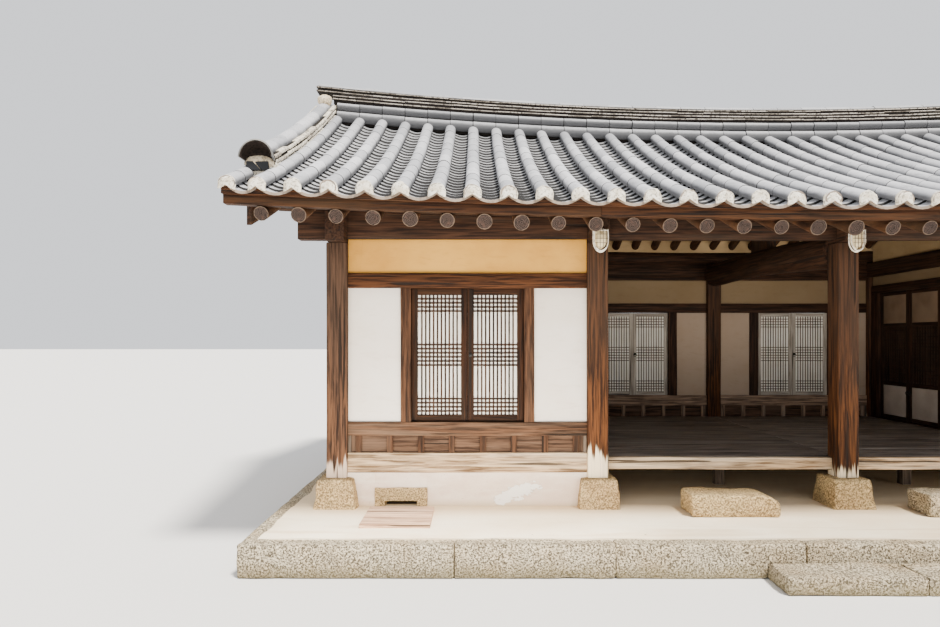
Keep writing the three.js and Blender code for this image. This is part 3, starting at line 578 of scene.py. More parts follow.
SILL_WOOD = wood_family("sill_timber", (0.020, 0.009, 0.0045), (0.15, 0.073, 0.038),
                        (0.32, 0.21, 0.135), 0.45)
DADO_WOOD = wood_family("dado_timber", (0.028, 0.0135, 0.0075), (0.145, 0.080, 0.047),
                        (0.25, 0.155, 0.10), 0.5)
PINK_WOOD = wood_family("cover_timber", (0.32, 0.19, 0.12), (0.76, 0.50, 0.33), (0.86, 0.66, 0.48), 0.5)
WARM_WOOD = wood_family("eave_timber", (0.009, 0.004, 0.0022), (0.074, 0.028, 0.0105),
                        (0.17, 0.09, 0.042), 0.35)
# Painted light: a paler copy of timber for the back sills and the dado posts in the hall.
LIT_HALL_WOOD = wood_family("lit_hall_timber", (0.10, 0.065, 0.042), (0.42, 0.28, 0.19), (0.55, 0.42, 0.32), 0.5)
BACK_SASH = wood_family("back_sash_timber", (0.26, 0.22, 0.18), (0.58, 0.52, 0.44), (0.70, 0.64, 0.55), 0.4)
FLOOR_WOOD = wood_family("floor_timber", (0.085, 0.072, 0.062), (0.37, 0.31, 0.265), (0.52, 0.46, 0.40), 0.45,
                         rough=0.5)
RAFTER_WOOD = rafter_wood()
TILE = clay_tile("roof_tile", (0.36, 0.367, 0.39), (0.60, 0.60, 0.625), lips=True)
TROUGH = clay_tile("trough_tile", (0.30, 0.305, 0.32), (0.49, 0.49, 0.505), lips=True)
BAND_TILE = clay_tile("ridge_round_tile", (0.33, 0.337, 0.36), (0.58, 0.58, 0.60))
PALE_TILE = clay_tile("arch_rim", (0.38, 0.37, 0.35), (0.55, 0.54, 0.50))
SLATE = clay_tile("dark_face", (0.030, 0.033, 0.040), (0.070, 0.076, 0.090))
COURSE_TILE = ridge_tile("ridge_course", (0.52, 0.47, 0.41), (0.15, 0.13, 0.107), (0.60, 0.55, 0.48))
CREAM_COURSE = ridge_tile("cream_course", (0.76, 0.69, 0.56), (0.40, 0.35, 0.28), (0.84, 0.79, 0.67))
CREAM_MORTAR = mortar("cream_mortar", (0.84, 0.80, 0.70), (0.60, 0.53, 0.41))
TAN_MORTAR = mortar("tan_mortar", (0.74, 0.63, 0.46), (0.56, 0.45, 0.30))
# Painted shadow: the near-black of the ridge cores, seen in the gaps between the ridge courses.
JOINT_SHADOW = mortar("joint_shadow", (0.022, 0.018, 0.015), (0.012, 0.010, 0.009))
# Painted shadow inside the arch tiles at the ridge ends.
ARCH_SHADOW = mortar("arch_shadow_sheet", (0.030, 0.021, 0.016), (0.016, 0.012, 0.010))
UNDERWALL = clay_render()
# The last colour of each of these two plasters is the painted shade of their inner faces.
WHITE_PLASTER = plaster("white_plaster", (0.88, 0.81, 0.725), (0.81, 0.72, 0.61), (0.66, 0.56, 0.45),
                        (0.47, 0.39, 0.325))
HEAD_PLASTER = plaster("head_plaster", (0.86, 0.79, 0.70), (0.78, 0.69, 0.58), (0.64, 0.54, 0.43),
                       (0.29, 0.225, 0.145))
# Painted shade with warm bounce light: plaster coloured tan for the band under the eaves, over the front
# windows.
SHADED_BAND_PLASTER = plaster("shaded_band_plaster", (0.68, 0.365, 0.075), (0.52, 0.25, 0.042), (0.40, 0.18, 0.03))
SOFFIT = soffit()
CEILING_PLASTER = plaster("ceiling_plaster", (0.52, 0.37, 0.20), (0.42, 0.29, 0.15), (0.30, 0.20, 0.10))
GRANITE = granite("grey_granite", (0.72, 0.62, 0.44), (0.095, 0.075, 0.05), (0.62, 0.49, 0.31), 0.92)
TAN_GRANITE = granite("tan_granite", (0.74, 0.54, 0.27), (0.12, 0.08, 0.042), (0.62, 0.42, 0.20), 0.72)
EARTH = trodden_earth()
PAPER = window_paper("mulberry_paper", (0.92, 0.89, 0.82), (0.84, 0.79, 0.70))
# Painted shade: the door papers take the dark tones of paper in deep shade.
SHADED_HEAD_PAPER = window_paper("shaded_head_paper", (0.25, 0.17, 0.11), (0.18, 0.12, 0.075))
SHADED_FOOT_PAPER = window_paper("shaded_foot_paper", (0.54, 0.47, 0.40), (0.42, 0.35, 0.29))
SHADOW_PAPER = window_paper("shadow_paper", (0.050, 0.032, 0.022), (0.030, 0.019, 0.013))
LAMP_COVER = lamp_cover()
CAGE_PAINT = mortar("cage_paint", (0.90, 0.87, 0.80), (0.80, 0.74, 0.62), 0.001)
IRON = black_iron()


# Modelling helpers

# Width of a unit piece's rounded edges, and the order of its axes when it lies along another
EDGE = 0.02
TURNS = {"X": [2, 0, 1], "Y": [1, 2, 0], "Z": [0, 1, 2]}

# Turn that lays an upright primitive along Y
LYING = (math.pi / 2, 0, 0)


def clear():
    bpy.ops.object.select_all(action="DESELECT")


def activate(piece):
    clear()
    piece.select_set(True)
    bpy.context.view_layer.objects.active = piece


def added(primitive, **settings):
    """A new piece from a primitive's operator, with its turn and place put into its mesh."""
    clear()
    primitive(**settings)
    piece = bpy.context.object
    bpy.ops.object.transform_apply(location=True, rotation=True, scale=True)
    return piece


def saw(piece, place, normal, **settings):
    """Saws a piece along a plane."""
    activate(piece)
    bpy.ops.object.mode_set(mode="EDIT")
    bpy.ops.mesh.select_all(action="SELECT")
    bpy.ops.mesh.bisect(plane_co=place, plane_no=normal, **settings)
    bpy.ops.object.mode_set(mode="OBJECT")
    return piece


def points(piece):
    places = np.empty(len(piece.data.vertices) * 3)
    piece.data.vertices.foreach_get("co", places)
    return places.reshape(-1, 3)


def move_points(piece, places):
    piece.data.vertices.foreach_set("co", np.asarray(places, float).ravel())
    piece.data.update()


def shape(piece, place):
    """Moves every point to the place that a function of the x, y and z arrays gives."""
    moved = place(*points(piece).T)
    size = len(piece.data.vertices)
    move_points(piece, np.column_stack([np.broadcast_to(part, size) for part in moved]))
    return piece


def modify(piece, kind, **settings):
    activate(piece)
    modifier = piece.modifiers.new(kind.lower(), kind)
    for key, value in settings.items():
        setattr(modifier, key, value)
    bpy.ops.object.modifier_apply(modifier=modifier.name)
    return piece


def repeat(piece, count, step):
    return modify(piece, "ARRAY", count=count, use_relative_offset=False, use_constant_offset=True,
                  constant_offset_displace=step)


def select_edges(piece, test):
    """Selects the edges whose two ends pass a test, and nothing else, for edit mode."""
    bpy.context.tool_settings.mesh_select_mode = (False, True, False)
    mesh = piece.data
    for group in (mesh.vertices, mesh.edges, mesh.polygons):
        group.foreach_set("select", [False] * len(group))
    for edge in mesh.edges:
        edge.select = test(*(mesh.vertices[i].co for i in edge.vertices))


def cut_across(piece, axis, cuts):
    """Cuts a unit piece across an axis into even lengths."""
    k = "XYZ".index(axis)
    activate(piece)
    select_edges(piece, lambda a, b: abs(a[k] - b[k]) > 0.9)
    bpy.ops.object.mode_set(mode="EDIT")
    bpy.ops.mesh.subdivide(number_cuts=cuts)
    bpy.ops.object.mode_set(mode="OBJECT")
    return piece


def master(piece):
    """Keeps a modelled piece's mesh as the master for its copies."""
    mesh = piece.data
    bpy.data.objects.remove(piece)
    return mesh


def spare(mesh):
    """A piece with its own copy of a master mesh."""
    piece = bpy.data.objects.new(mesh.name, mesh.copy())
    bpy.context.scene.collection.objects.link(piece)
    return piece


def unit_cube(cuts_x=0, cuts_y=0, cuts_z=0, bevel=True):
    cube = added(bpy.ops.mesh.primitive_cube_add, size=1)
    for axis, cuts in (("X", cuts_x), ("Y", cuts_y), ("Z", cuts_z)):
        if cuts:
            cut_across(cube, axis, cuts)
    if bevel:
        modify(cube, "BEVEL", width=EDGE, segments=2, limit_method="ANGLE")
    return master(cube)


def unit_log(sides, cuts):
    """A round unit log along Z. Its ring attribute is 0 at the heart of each end and 1 at the bark."""
    log = added(bpy.ops.mesh.primitive_cylinder_add, vertices=sides, radius=1, depth=1,
                end_fill_type="TRIFAN")
    cut_across(log, "Z", cuts)
    mark(log, "ring", np.hypot(*points(log).T[:2]))
    return master(log)


def mark(piece, name, values):
    layers = piece.data.attributes
    layer = layers.get(name) or layers.new(name, "FLOAT", "POINT")
    layer.data.foreach_set("value", np.asarray(values, np.float32))


def tint(piece, value=None):
    """Gives a piece one tone, by chance if none is named."""
    value = chance.random() if value is None else value
    mark(piece, "tone", np.full(len(piece.data.vertices), value))
    return piece


def dress(piece, material):
    piece.data.materials.clear()
    piece.data.materials.append(material)
    return piece


def sway(piece, axis, amount):
    """Lets a timber wander a little off its straight line."""
    places = points(piece)
    k = "XYZ".index(axis)
    along = places[:, k].copy()
    for side in {0, 1, 2} - {k}:
        phase = chance.uniform(0, math.tau)
        wander = np.sin(along * 2.1 + phase) + 0.5 * np.sin(along * 5.3 + 2 * phase)
        places[:, side] += amount * wander
    move_points(piece, places)
    return piece


def roughen(piece, amount, scale, level=3):
    """Pushes the surface in and out by noise that runs on across neighbouring pieces."""
    for vertex in piece.data.vertices:
        push = noise.fractal(vertex.co * scale, 0.8, 2.0, level)
        vertex.co += vertex.normal * (push * amount)
    piece.data.update()
    return piece


def fitted(mesh, lo, hi, axis="Z", bevel=0.006):
    """A copy of a unit piece stretched between two corners, its rounded edges kept at one width."""
    piece = spare(mesh)
    unit = points(piece)[:, TURNS[axis]]
    lo, hi = np.array(lo, float), np.array(hi, float)
    half = (hi - lo) / 2
    bevel = min(bevel, half.min() * 0.6)
    depth = 0.5 - np.abs(unit)
    rim = half - depth / EDGE * bevel
    inner = np.abs(unit) / (0.5 - EDGE) * (half - bevel)
    reach = np.where(depth <= EDGE * 1.001, rim, inner)
    move_points(piece, (lo + hi) / 2 + np.sign(unit) * reach)
    return piece


def join(parts):
    clear()
    for part in parts:
        part.select_set(True)
    bpy.context.view_layer.objects.active = parts[0]
    if len(parts) > 1:
        bpy.ops.object.join()
    return bpy.context.view_layer.objects.active


def turned(piece):
    """A copy of a piece turned half round the house's middle."""
    twin = spare(piece.data)
    return shape(twin, lambda x, y, z: (-x, -y, z))


def keep(name, parts, nodes=(), smooth=40):
    """Joins the parts into one finished piece that stands for CAD nodes."""
    whole = join(parts)
    whole.name = name
    whole.data.name = name
    activate(whole)
    bpy.ops.object.shade_smooth_by_angle(angle=math.radians(smooth))
    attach(whole, "root")
    if nodes:
        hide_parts(*nodes)
    return whole


def keep_pair(name, front, node=None):
    """Keeps a piece of the front and its twin, turned round to the back."""
    for side, piece in (("front", front), ("back", turned(front))):
        keep(f"{name}_{side}", [piece], [f"{node}_{side}"] if node else ())


BAR = unit_cube(cuts_z=7)
STICK = unit_cube(bevel=False)
PANEL = unit_cube(8, 2, 8)
STONE = unit_cube(7, 5, 9)


def longest(lo, hi):
    """The axis along which two corners lie furthest apart."""
    sizes = [b - a for a, b in zip(lo, hi)]
    return "XYZ"[sizes.index(max(sizes))]


def beam(lo, hi, woods, bevel=0.006, bow=0.0015, tone=None):
    """A timber between two corners, with its grain along its longest side."""
    axis = longest(lo, hi)
    piece = fitted(BAR, lo, hi, axis, bevel)
    sway(piece, axis, bow)
    return dress(tint(piece, tone), woods[axis])


def panel(lo, hi, material, wave=0.0015, scale=1.6):
    """A plaster field between timbers, a little uneven."""
    piece = fitted(PANEL, lo, hi, "Z", 0.004)
    roughen(piece, wave, scale)
    return dress(tint(piece), material)


def stone(lo, hi, material, axis="Z", bevel=0.016, wave=0.006, scale=4.5):
    piece = fitted(STONE, lo, hi, axis, bevel)
    roughen(piece, wave, scale)
    shape(piece, lambda x, y, z: (x, y, np.maximum(z, lo[2])))
    return dress(tint(piece), material)


# Roof surface

def lift(x):
    """Rise of the eaves towards the gables."""
    return EAVE_LIFT * (x / EDGE_ROW) ** 2


def crest(x, y):
    """Height of the tile crests, which sag between the eave and the ridge."""
    eave = EAVE_CREST + lift(x)
    ridge = RIDGE_CREST + RIDGE_LIFT * (x / EDGE_ROW) ** 2
    way = (EAVE_END - np.abs(y)) / (EAVE_END - RIDGE_FACE)
    return eave + (ridge - eave) * ((1 - SLOPE_SAG) * way + SLOPE_SAG * way * way)


def rafter_axis(y):
    """Height of the rafters' middle lines."""
    return PURLIN_Z + RAFTER_SEAT + RAFTER_SLOPE * (COLUMN_Y - np.abs(y))


def vary(piece, unit_size, shift):
    """Moves each copied unit by chance and gives it a tone of its own."""
    places = points(piece).reshape(-1, unit_size, 3)
    places += dice.normal(0, 1, (len(places), 1, 3)) * np.array(shift)
    move_points(piece, places.reshape(-1, 3))
    mark(piece, "tone", np.repeat(dice.random_sample(len(places)), unit_size))
    return piece


def set_out(piece, along, up, shift):
    """Repeats a unit up the slope and along the eave, each given as first place, step and count."""
    size = len(piece.data.vertices)
    repeat(piece, up[2], (0, up[1], 0))
    repeat(piece, along[2], (along[1], 0, 0))
    shape(piece, lambda x, y, z: (x + along[0], y + up[0], z))
    return vary(piece, size, shift)


def on_roof(parts, material):
    """Joins parts set out on the level and lays them on the front slope."""
    whole = join(parts)
    shape(whole, lambda x, y, z: (x, y, z + crest(x, y)))
    return dress(whole, material)


def trough_tile(width):
    """A concave tile whose upper end dips below the next course."""
    tile = added(bpy.ops.mesh.primitive_grid_add, x_subdivisions=8, y_subdivisions=1, size=1)

    def curved(x, y, _):
        up = (y + 0.5) * COURSE * 1.35
        hollow = TROUGH_SAG * (2 * x) ** 2
        return x * width, up, hollow - TROUGH_DEPTH - up / COURSE * TILE_THICKNESS * 0.9

    shape(tile, curved)
    return modify(tile, "SOLIDIFY", thickness=TILE_THICKNESS, offset=-1)


def trough_tiles():
    """The concave tiles of the front slope, in courses from the eave to the ridge."""
    shift = (0.0012, 0.003, 0.0012)
    parts = []
    for along, width, count in ((MAIN_TROUGHS, ROW_PITCH, COURSES), (EDGE_TROUGHS, EDGE_PITCH, EDGE_COURSES)):
        parts.append(set_out(trough_tile(width), along, (-TROUGH_EAVE, COURSE, count), shift))
    return on_roof(parts, TROUGH)


def half_round(radius, length, sides=20, foot=-0.3, taper=0.955):
    """A half-round tile along Y from 0, its lower end the wider one, closed at a flat foot."""
    tile = added(bpy.ops.mesh.primitive_cylinder_add, vertices=sides, radius=1, depth=1, rotation=LYING)
    saw(tile, (0, 0, foot), (0, 0, 1), clear_inner=True, use_fill=True)

    def sized(x, y, z):
        way = y + 0.5
        wide = radius * (1 - (1 - taper) * way)
        return x * wide, way * length, z * wide

    return shape(tile, sized)


def round_tiles():
    """The rows of half-round tiles that cover the joints between the troughs."""
    full = (EAVE_END - RIDGE_FACE + 0.03) / ROUND_TILES
    short = (EAVE_END - GABLE_FOOT) / EDGE_TILES
    rows = []
    for along, length, count in ((MAIN_ROWS, full, ROUND_TILES), (EDGE_ROWS, short, EDGE_TILES)):
        tile = half_round(ROW_RADIUS, length * 1.01)
        shape(tile, lambda x, y, z: (x, y, z - ROW_RADIUS))
        rows.append(set_out(tile, along, (-EAVE_END, length, count), (0.0012, 0.002, 0.0012)))
    return on_roof(rows, TILE)


def mortar_caps():
    """The lime mortar that closes each row at the eave, pressed down into the troughs beside it."""
    cap = added(bpy.ops.mesh.primitive_uv_sphere_add, segments=20, ring_count=12, radius=1)

    def pressed(x, y, z):
        ring = np.sqrt(np.maximum(1 - z * z, 1e-6))
        wide = np.where(z < 0, np.minimum(1 / ring, 20), 1)
        across = x * wide * 0.069
        sill = TROUGH_SAG * (1 - np.abs(across) / (ROW_PITCH / 2)) ** 2 - TROUGH_DEPTH - 0.006
        low = -ROW_RADIUS + z * 0.067
        down = -ROW_RADIUS - z * (sill + ROW_RADIUS)
        return across, y * wide * 0.030, np.where(z < 0, down, low)

    cap = master(shape(cap, pressed))
    rows = [
        set_out(spare(cap), along, (-EAVE_END + 0.010, 1, 1), (0.0015, 0.003, 0.0015))
        for along in (MAIN_ROWS, EDGE_ROWS)
    ]
    return roughen(on_roof(rows, CREAM_MORTAR), 0.006, 24)


def hollow(x):
    """Rise of the first trough tiles over their middle lines."""
    inner = np.mod(x / ROW_PITCH, 1) - 0.5
    outer = (np.abs(x) - EDGE_TROUGH) / EDGE_PITCH
    part = np.where(np.abs(x) < LAST_ROW, inner, outer)
    return TROUGH_SAG * np.minimum((2 * part) ** 2, 1)


def scalloped_board():
    """The board on the eave board, cut to the hollows of the first course."""
    end = EAVE_BOARD_END - LAST_ROW
    end_cells = (-LAST_ROW - end / 2, 2 * LAST_ROW + end, 2)
    scallop = unit_cube(cuts_x=11, bevel=False)
    cells = []
    for (first, step, count), width in ((MAIN_TROUGHS, ROW_PITCH), (end_cells, end)):
        cell = shape(spare(scallop), lambda x, y, z: (x * width, y, z))
        repeat(cell, count, (step, 0, 0))
        cells.append(shape(cell, lambda x, y, z: (x + first, y, z)))

    def cut(x, y, z):
        top = crest(x, -TROUGH_EAVE) - TROUGH_DEPTH - TILE_THICKNESS + 0.003 + hollow(x)
        foot = EAVE_BOARD_Z[1] + lift(x) - 0.012
        return x, -2.946 + y * 0.05, np.where(z > 0, top, foot)

    return dress(tint(shape(join(cells), cut), 0.1), WARM_WOOD["X"])


def roof_bed():
    """Clay and boards under the tiles, with the plastered underside between the rafters."""
    verge = np.array([5.533, 5.537, 5.612])
    x_stations = np.concatenate([-verge[::-1], np.linspace(-5.3, 5.3, 23), verge])
    y_stations = np.array([-2.842, -2.80, -2.6, -2.2, -1.8, -1.4, -1.0, -0.6, -0.3, 0.0])
    bed = spare(unit_cube(cuts_x=len(x_stations) - 2, cuts_y=len(y_stations) - 2, bevel=False))

    def laid(u, v, w):
        x = x_stations[np.rint((u + 0.5) * (len(x_stations) - 1)).astype(int)]
        y = y_stations[np.rint((v + 0.5) * (len(y_stations) - 1)).astype(int)]
        inner = rafter_axis(y) + RAFTER_TOP + lift(np.abs(x) + 0.072)
        outer = crest(x, y) - 0.127
        under = np.where(np.abs(x) > 5.535, outer, inner)
        top = np.maximum(crest(x, y) - 0.158, under + 0.004)
        return x, y, np.where(w > 0, top, under)

    return dress(tint(shape(bed, laid), 0.5), SOFFIT)


def roof_slopes():
    makers = {
        "trough_tiles": (trough_tiles, "clay_tile"),
        "round_tiles": (round_tiles, "clay_tile"),
        "mortar_caps": (mortar_caps, "clay_tile"),
        "scalloped_board": (scalloped_board, "timber"),
        "roof_bed": (roof_bed, "plaster"),
    }
    for name, (make, slot) in makers.items():
        keep_pair(name, make(), "roof")


# Ridges

RIDGE_TOP = 4.795
RIDGE_END_LIFT = 0.300
RIDGE_HALF_LENGTH = 5.575
BAND_END = LAST_ROW
BAND_TILES = 2 * ROWS_EACH_SIDE
CROWN_TILES = 37
COURSE_END = 5.370
BANDS_TOP = 0.186
BAND_RADIUS = 0.054
CROWN_RADIUS = 0.078
CROWN_DEPTH = 0.072
RIDGE_COURSES = 4
COURSE_SLABS = 34
COURSE_HALF_DEPTH = 0.120
COURSE_STEP = 0.006

# Round bands beside the main ridge as rise, reach and height
RIDGE_BANDS = ((0.136, 0.106, 0.92), (0.014, 0.118, 1.25))


def ridge_top(x):
    return RIDGE_TOP + RIDGE_END_LIFT * (x / RIDGE_HALF_LENGTH) ** 2


def ridge_foot(x):
    return crest(x, -RIDGE_FACE)


def along_ridge(piece, count, end, shift, height):
    """Repeats a unit along the main ridge from end to end, at a height that follows its rise."""
    size = len(piece.data.vertices)
    repeat(piece, count, (2 * end / count, 0, 0))
    shape(piece, lambda x, y, z: (x - end, y, z))
    vary(piece, size, shift)
    return shape(piece, lambda x, y, z: (x, y, z + height(x)))


def lying_round(radius, length, foot):
    """A half-round tile along X from 0."""
    tile = half_round(radius, length, 16, foot, 0.965)
    return shape(tile, lambda x, y, z: (y, -x, z))


def ridge_core(length, half_depth, head, foot):
    """The clay heart of a part of the main ridge, near-black as painted shadow in the joints, from one raised
    line to another.
    """
    body = spare(unit_cube(cuts_x=24, bevel=False))

    def placed(u, v, w):
        x = u * 2 * length
        high, low = (line(x) + up for line, up in (head, foot))
        return x, v * 2 * half_depth, np.where(w > 0, high, low)

    return dress(tint(shape(body, placed), 0.5), JOINT_SHADOW)


def main_ridge():
    """Two round bands on each side, four courses of flat tiles and a row of round tiles on top."""
    parts = []
    for rise, reach, tall in RIDGE_BANDS:
        for side in (-1, 1):
            tile = lying_round(BAND_RADIUS, 2 * BAND_END / BAND_TILES * 0.972, -0.95)
            shape(tile, lambda x, y, z: (x, y * 0.9 + side * reach, z * tall + rise))
            laid = along_ridge(tile, BAND_TILES, BAND_END, (0.001, 0.002, 0.0012), ridge_foot)
            parts.append(dress(laid, BAND_TILE))
    top = lying_round(CROWN_RADIUS, 2 * RIDGE_HALF_LENGTH / CROWN_TILES * 0.995, -0.35)
    shape(top, lambda x, y, z: (x, y, z * 0.92 - 0.073))
    laid = along_ridge(top, CROWN_TILES, RIDGE_HALF_LENGTH, (0.001, 0.0015, 0.001), ridge_top)
    parts.append(dress(laid, BAND_TILE))
    for level in range(RIDGE_COURSES):
        end = RIDGE_HALF_LENGTH if level < 2 else COURSE_END
        count = COURSE_SLABS + level
        half_depth = COURSE_HALF_DEPTH + COURSE_STEP * level
        low, high = (0.002, -half_depth, -0.014), (2 * end / count - 0.002, half_depth, 0)
        slab = fitted(unit_cube(cuts_x=1), low, high, "Z", 0.004)

        def height(x):
            room = ridge_top(x) - ridge_foot(x) - BANDS_TOP - CROWN_DEPTH
            return ridge_top(x) - CROWN_DEPTH - room * level / RIDGE_COURSES

        parts.append(dress(along_ridge(slab, count, end, (0.001, 0.0025, 0.0020), height), COURSE_TILE))
    keep("ridge_tiles", parts, ["main_ridge"])
    bodies = [
        ridge_core(RIDGE_HALF_LENGTH - 0.012, 0.106, (ridge_top, -0.06), (ridge_top, -0.14)),
        ridge_core(COURSE_END - 0.012, 0.121, (ridge_top, -0.13), (ridge_foot, 0.165)),
        ridge_core(BAND_END - 0.01, 0.112, (ridge_foot, 0.19), (ridge_foot, -0.08)),
    ]
    keep("ridge_core", bodies, ["main_ridge"])


# The gable ridge runs up the verge. Its bed is level where it passes under the main ridge.
GABLE_RIDGE_X = 5.452
GABLE_RIDGE_CAP = 4.682
ARCH_X = 5.428

# Flat courses as count, half width, foot and head, and round rows as count, radius, x and z
GABLE_COURSES = ((21, 0.127, 0.058, 0.090), (23, 0.126, 0.010, 0.041), (20, 0.124, -0.038, -0.007))
GABLE_ROUNDS = ((17, 0.080, 0.0, 0.094), (18, 0.050, 0.105, -0.072))


def along_gable(piece, count, shift):
    """Repeats a unit up one slope and down the other along the gable."""
    size = len(piece.data.vertices)
    repeat(piece, count, (0, 2 * GABLE_FOOT / count, 0))
    vary(piece, size, shift)

    def climb(x, y, z):
        run = y - GABLE_FOOT
        level = np.minimum(crest(GABLE_RIDGE_X, run), GABLE_RIDGE_CAP)
        return x + GABLE_RIDGE_X, run, z + level

    return shape(piece, climb)


def gable_ridge_parts():
    """Flat courses beside the last row of tiles, a round row on top and another along the verge.

    Each round tile is cut across once, so that it follows the sag of the slope.
    """
    parts = []
    for count, half, foot, head in GABLE_COURSES:
        step = 2 * GABLE_FOOT / count
        slab = fitted(unit_cube(cuts_y=2), (-half, 0.009, foot), (half, step - 0.009, head), "Z", 0.005)
        parts.append(dress(along_gable(slab, count, (0.0025, 0.009, 0.0055)), CREAM_COURSE))
    for count, radius, x, z in GABLE_ROUNDS:
        tile = half_round(radius, 2 * GABLE_FOOT / count * 1.005, 18, -0.6, 0.98)
        saw(tile, (0, points(tile)[:, 1].max() / 2, 0), (0, 1, 0))
        shape(tile, lambda a, b, c: (a + x, b, c + z))
        parts.append(dress(along_gable(tile, count, (0.002, 0.002, 0.002)), BAND_TILE))
    return parts


# The core under the gable ridge, near-black as painted shadow in the gaps between its courses.
def gable_core():
    body = spare(unit_cube(cuts_y=30, bevel=False))

    def placed(u, v, w):
        y = v * 2 * (GABLE_FOOT - 0.02)
        level = np.minimum(crest(GABLE_RIDGE_X, y), GABLE_RIDGE_CAP)
        return GABLE_RIDGE_X + u * 0.216, y, level + np.where(w > 0, 0.088, -0.11)

    return dress(tint(shape(body, placed), 0.5), JOINT_SHADOW)


def lump(centre, radii, material, wave=0.02):
    """A hand-pressed lump of mortar."""
    piece = added(bpy.ops.mesh.primitive_uv_sphere_add, segments=20, ring_count=12, radius=1)
    shape(piece, lambda x, y, z: tuple(c + r * part for c, r, part in zip(centre, radii, (x, y, z))))
    roughen(piece, wave, 9)
    return dress(tint(piece), material)


def arch_tile(y, turn, inset, material, thickness):
    """The upturned end tile: an arched shell open to the eave, or the near-black sheet inside it that paints
    its shadow.
    """
    arch = added(bpy.ops.mesh.primitive_cylinder_add, vertices=40, radius=1, depth=1, rotation=LYING,
                 end_fill_type="NOTHING")
    saw(arch, (0, 0, 0.05), (0, 0, 1), clear_inner=True)
    level = crest(GABLE_RIDGE_X, y)

    def bent(x, depth, z):
        way = depth + 0.5 if turn > 0 else 0.5 - depth
        flare = 1.0 - 0.30 * way
        place = y - turn * (0.135 - 0.24 * way)
        across = x * (0.141 - inset) * flare
        return ARCH_X + across, place, level + 0.018 + z * (0.150 - inset) * flare + 0.016 * (1 - way) ** 2

    shape(arch, bent)
    modify(arch, "SOLIDIFY", thickness=thickness, offset=0)
    return dress(tint(arch, 0.9), material)


def slate_plate(y, sign, level, half):
    """One half of the dark face under a ridge end, whose joint with the other half leans."""
    seam = ARCH_X + 0.012 + half * 0.003
    x0, x1 = sorted((seam, seam + half * 0.091))
    near, far = sorted((y + sign * 0.060, y + sign * 0.01))
    plate = stone((x0, near, level - 0.050), (x1, far, level + 0.026), SLATE, "X", 0.004, 0.001, 7)

    def leant(x, b, z):
        return x + (1 - np.abs(x - seam) / 0.091) * (z - level + 0.012) * 0.9, b, z

    return shape(plate, leant)


def ridge_end(sign):
    """What closes a gable ridge at an eave: plastered box, slate face, mortar arc, arch tile, and a
    near-black plug and sheet that paint the shadow inside the arch.
    """
    y = sign * GABLE_FOOT
    level = crest(GABLE_RIDGE_X, y)
    near, far = sorted((y + sign * 0.030, y - sign * 0.17))
    box = stone((5.304, near, level - 0.118), (5.545, far, level + 0.046), CREAM_MORTAR, "Y", 0.02, 0.005, 7)
    arc = lump((ARCH_X, y + sign * 0.026, level + 0.022), (0.124, 0.032, 0.062), TAN_MORTAR, 0.008)
    # Painted shadow inside the arch: a near-black plug across its mouth and a near-black sheet within its
    # shell.
    shadow_plug = lump((ARCH_X, y + sign * 0.018, level + 0.035), (0.132, 0.018, 0.118), ARCH_SHADOW, 0.006)
    plates = [slate_plate(y, sign, level, half) for half in (-1, 1)]
    shell = arch_tile(y, -sign, 0.0, PALE_TILE, 0.012)
    shadow_sheet = arch_tile(y, -sign, 0.011, ARCH_SHADOW, 0.008)
    return [box, arc, shadow_plug, shell, shadow_sheet] + plates


def gable_ridges():
    """The right gable's ridge, turned half round for the left one."""
    parts = gable_ridge_parts() + [gable_core()]
    parts += ridge_end(-1) + ridge_end(1)
    for sign in (-1, 1):
        centre = (GABLE_RIDGE_X - 0.01, sign * 0.25, 4.795)
        parts.append(lump(centre, (0.086, 0.09, 0.074), TAN_MORTAR, 0.022))
    right = join(parts)
    left = turned(right)
    keep("gable_ridge_tiles_right", [right], ["gable_ridge_right"])
    keep("gable_ridge_tiles_left", [left], ["gable_ridge_left"])


# Roof timbers

RAFTER_LOG = unit_log(14, 6)
BIG_LOG = unit_log(24, 30)


def rafter(x):
    log = spare(RAFTER_LOG)
    size = chance.uniform(0.94, 1.04)
    roll = chance.uniform(0, math.tau)
    bow_x, bow_z = chance.uniform(-0.006, 0.006), chance.uniform(-0.004, 0.004)
    tip = RAFTER_TIP + chance.uniform(-0.012, 0.006)

    def laid(u, v, w):
        way = w + 0.5
        radius = RAFTER_RADIUS * size * (1.02 - 0.06 * way)
        across = (u * math.cos(roll) - v * math.sin(roll)) * radius
        up = -(u * math.sin(roll) + v * math.cos(roll)) * radius
        run = -tip + way * (tip - 0.02)
        bow = np.sin(math.pi * way)
        height = rafter_axis(run) + lift(np.abs(x) + 0.036) + 0.012 * (1 - way) ** 2
        return (
            x + across + bow_x * bow,
            run - up * math.sin(ROOF_ANGLE),
            height + up * math.cos(ROOF_ANGLE) + bow_z * bow,
        )

    return dress(tint(shape(log, laid)), RAFTER_WOOD)


def eave_board():
    """The board over the rafter tips, spliced from four lengths of different age."""
    stops = (-EAVE_BOARD_END, -2.62, 0.35, 3.05, EAVE_BOARD_END)
    parts = []
    for start, end, tone in zip(stops, stops[1:], (0.98, 0.6, 0.2, 0.0)):
        board = spare(unit_cube(cuts_x=9, bevel=False))

        def placed(u, v, w):
            x = start + (u + 0.5) * (end - start)
            y = np.where(v > 0, EAVE_BOARD_Y[1], EAVE_BOARD_Y[0])
            return x, y, np.where(w > 0, EAVE_BOARD_Z[1], EAVE_BOARD_Z[0]) + lift(x)

        shape(board, placed)
        modify(board, "BEVEL", width=0.006, segments=2, limit_method="ANGLE")
        parts.append(dress(tint(board, tone), WARM_WOOD["X"]))
    return join(parts)


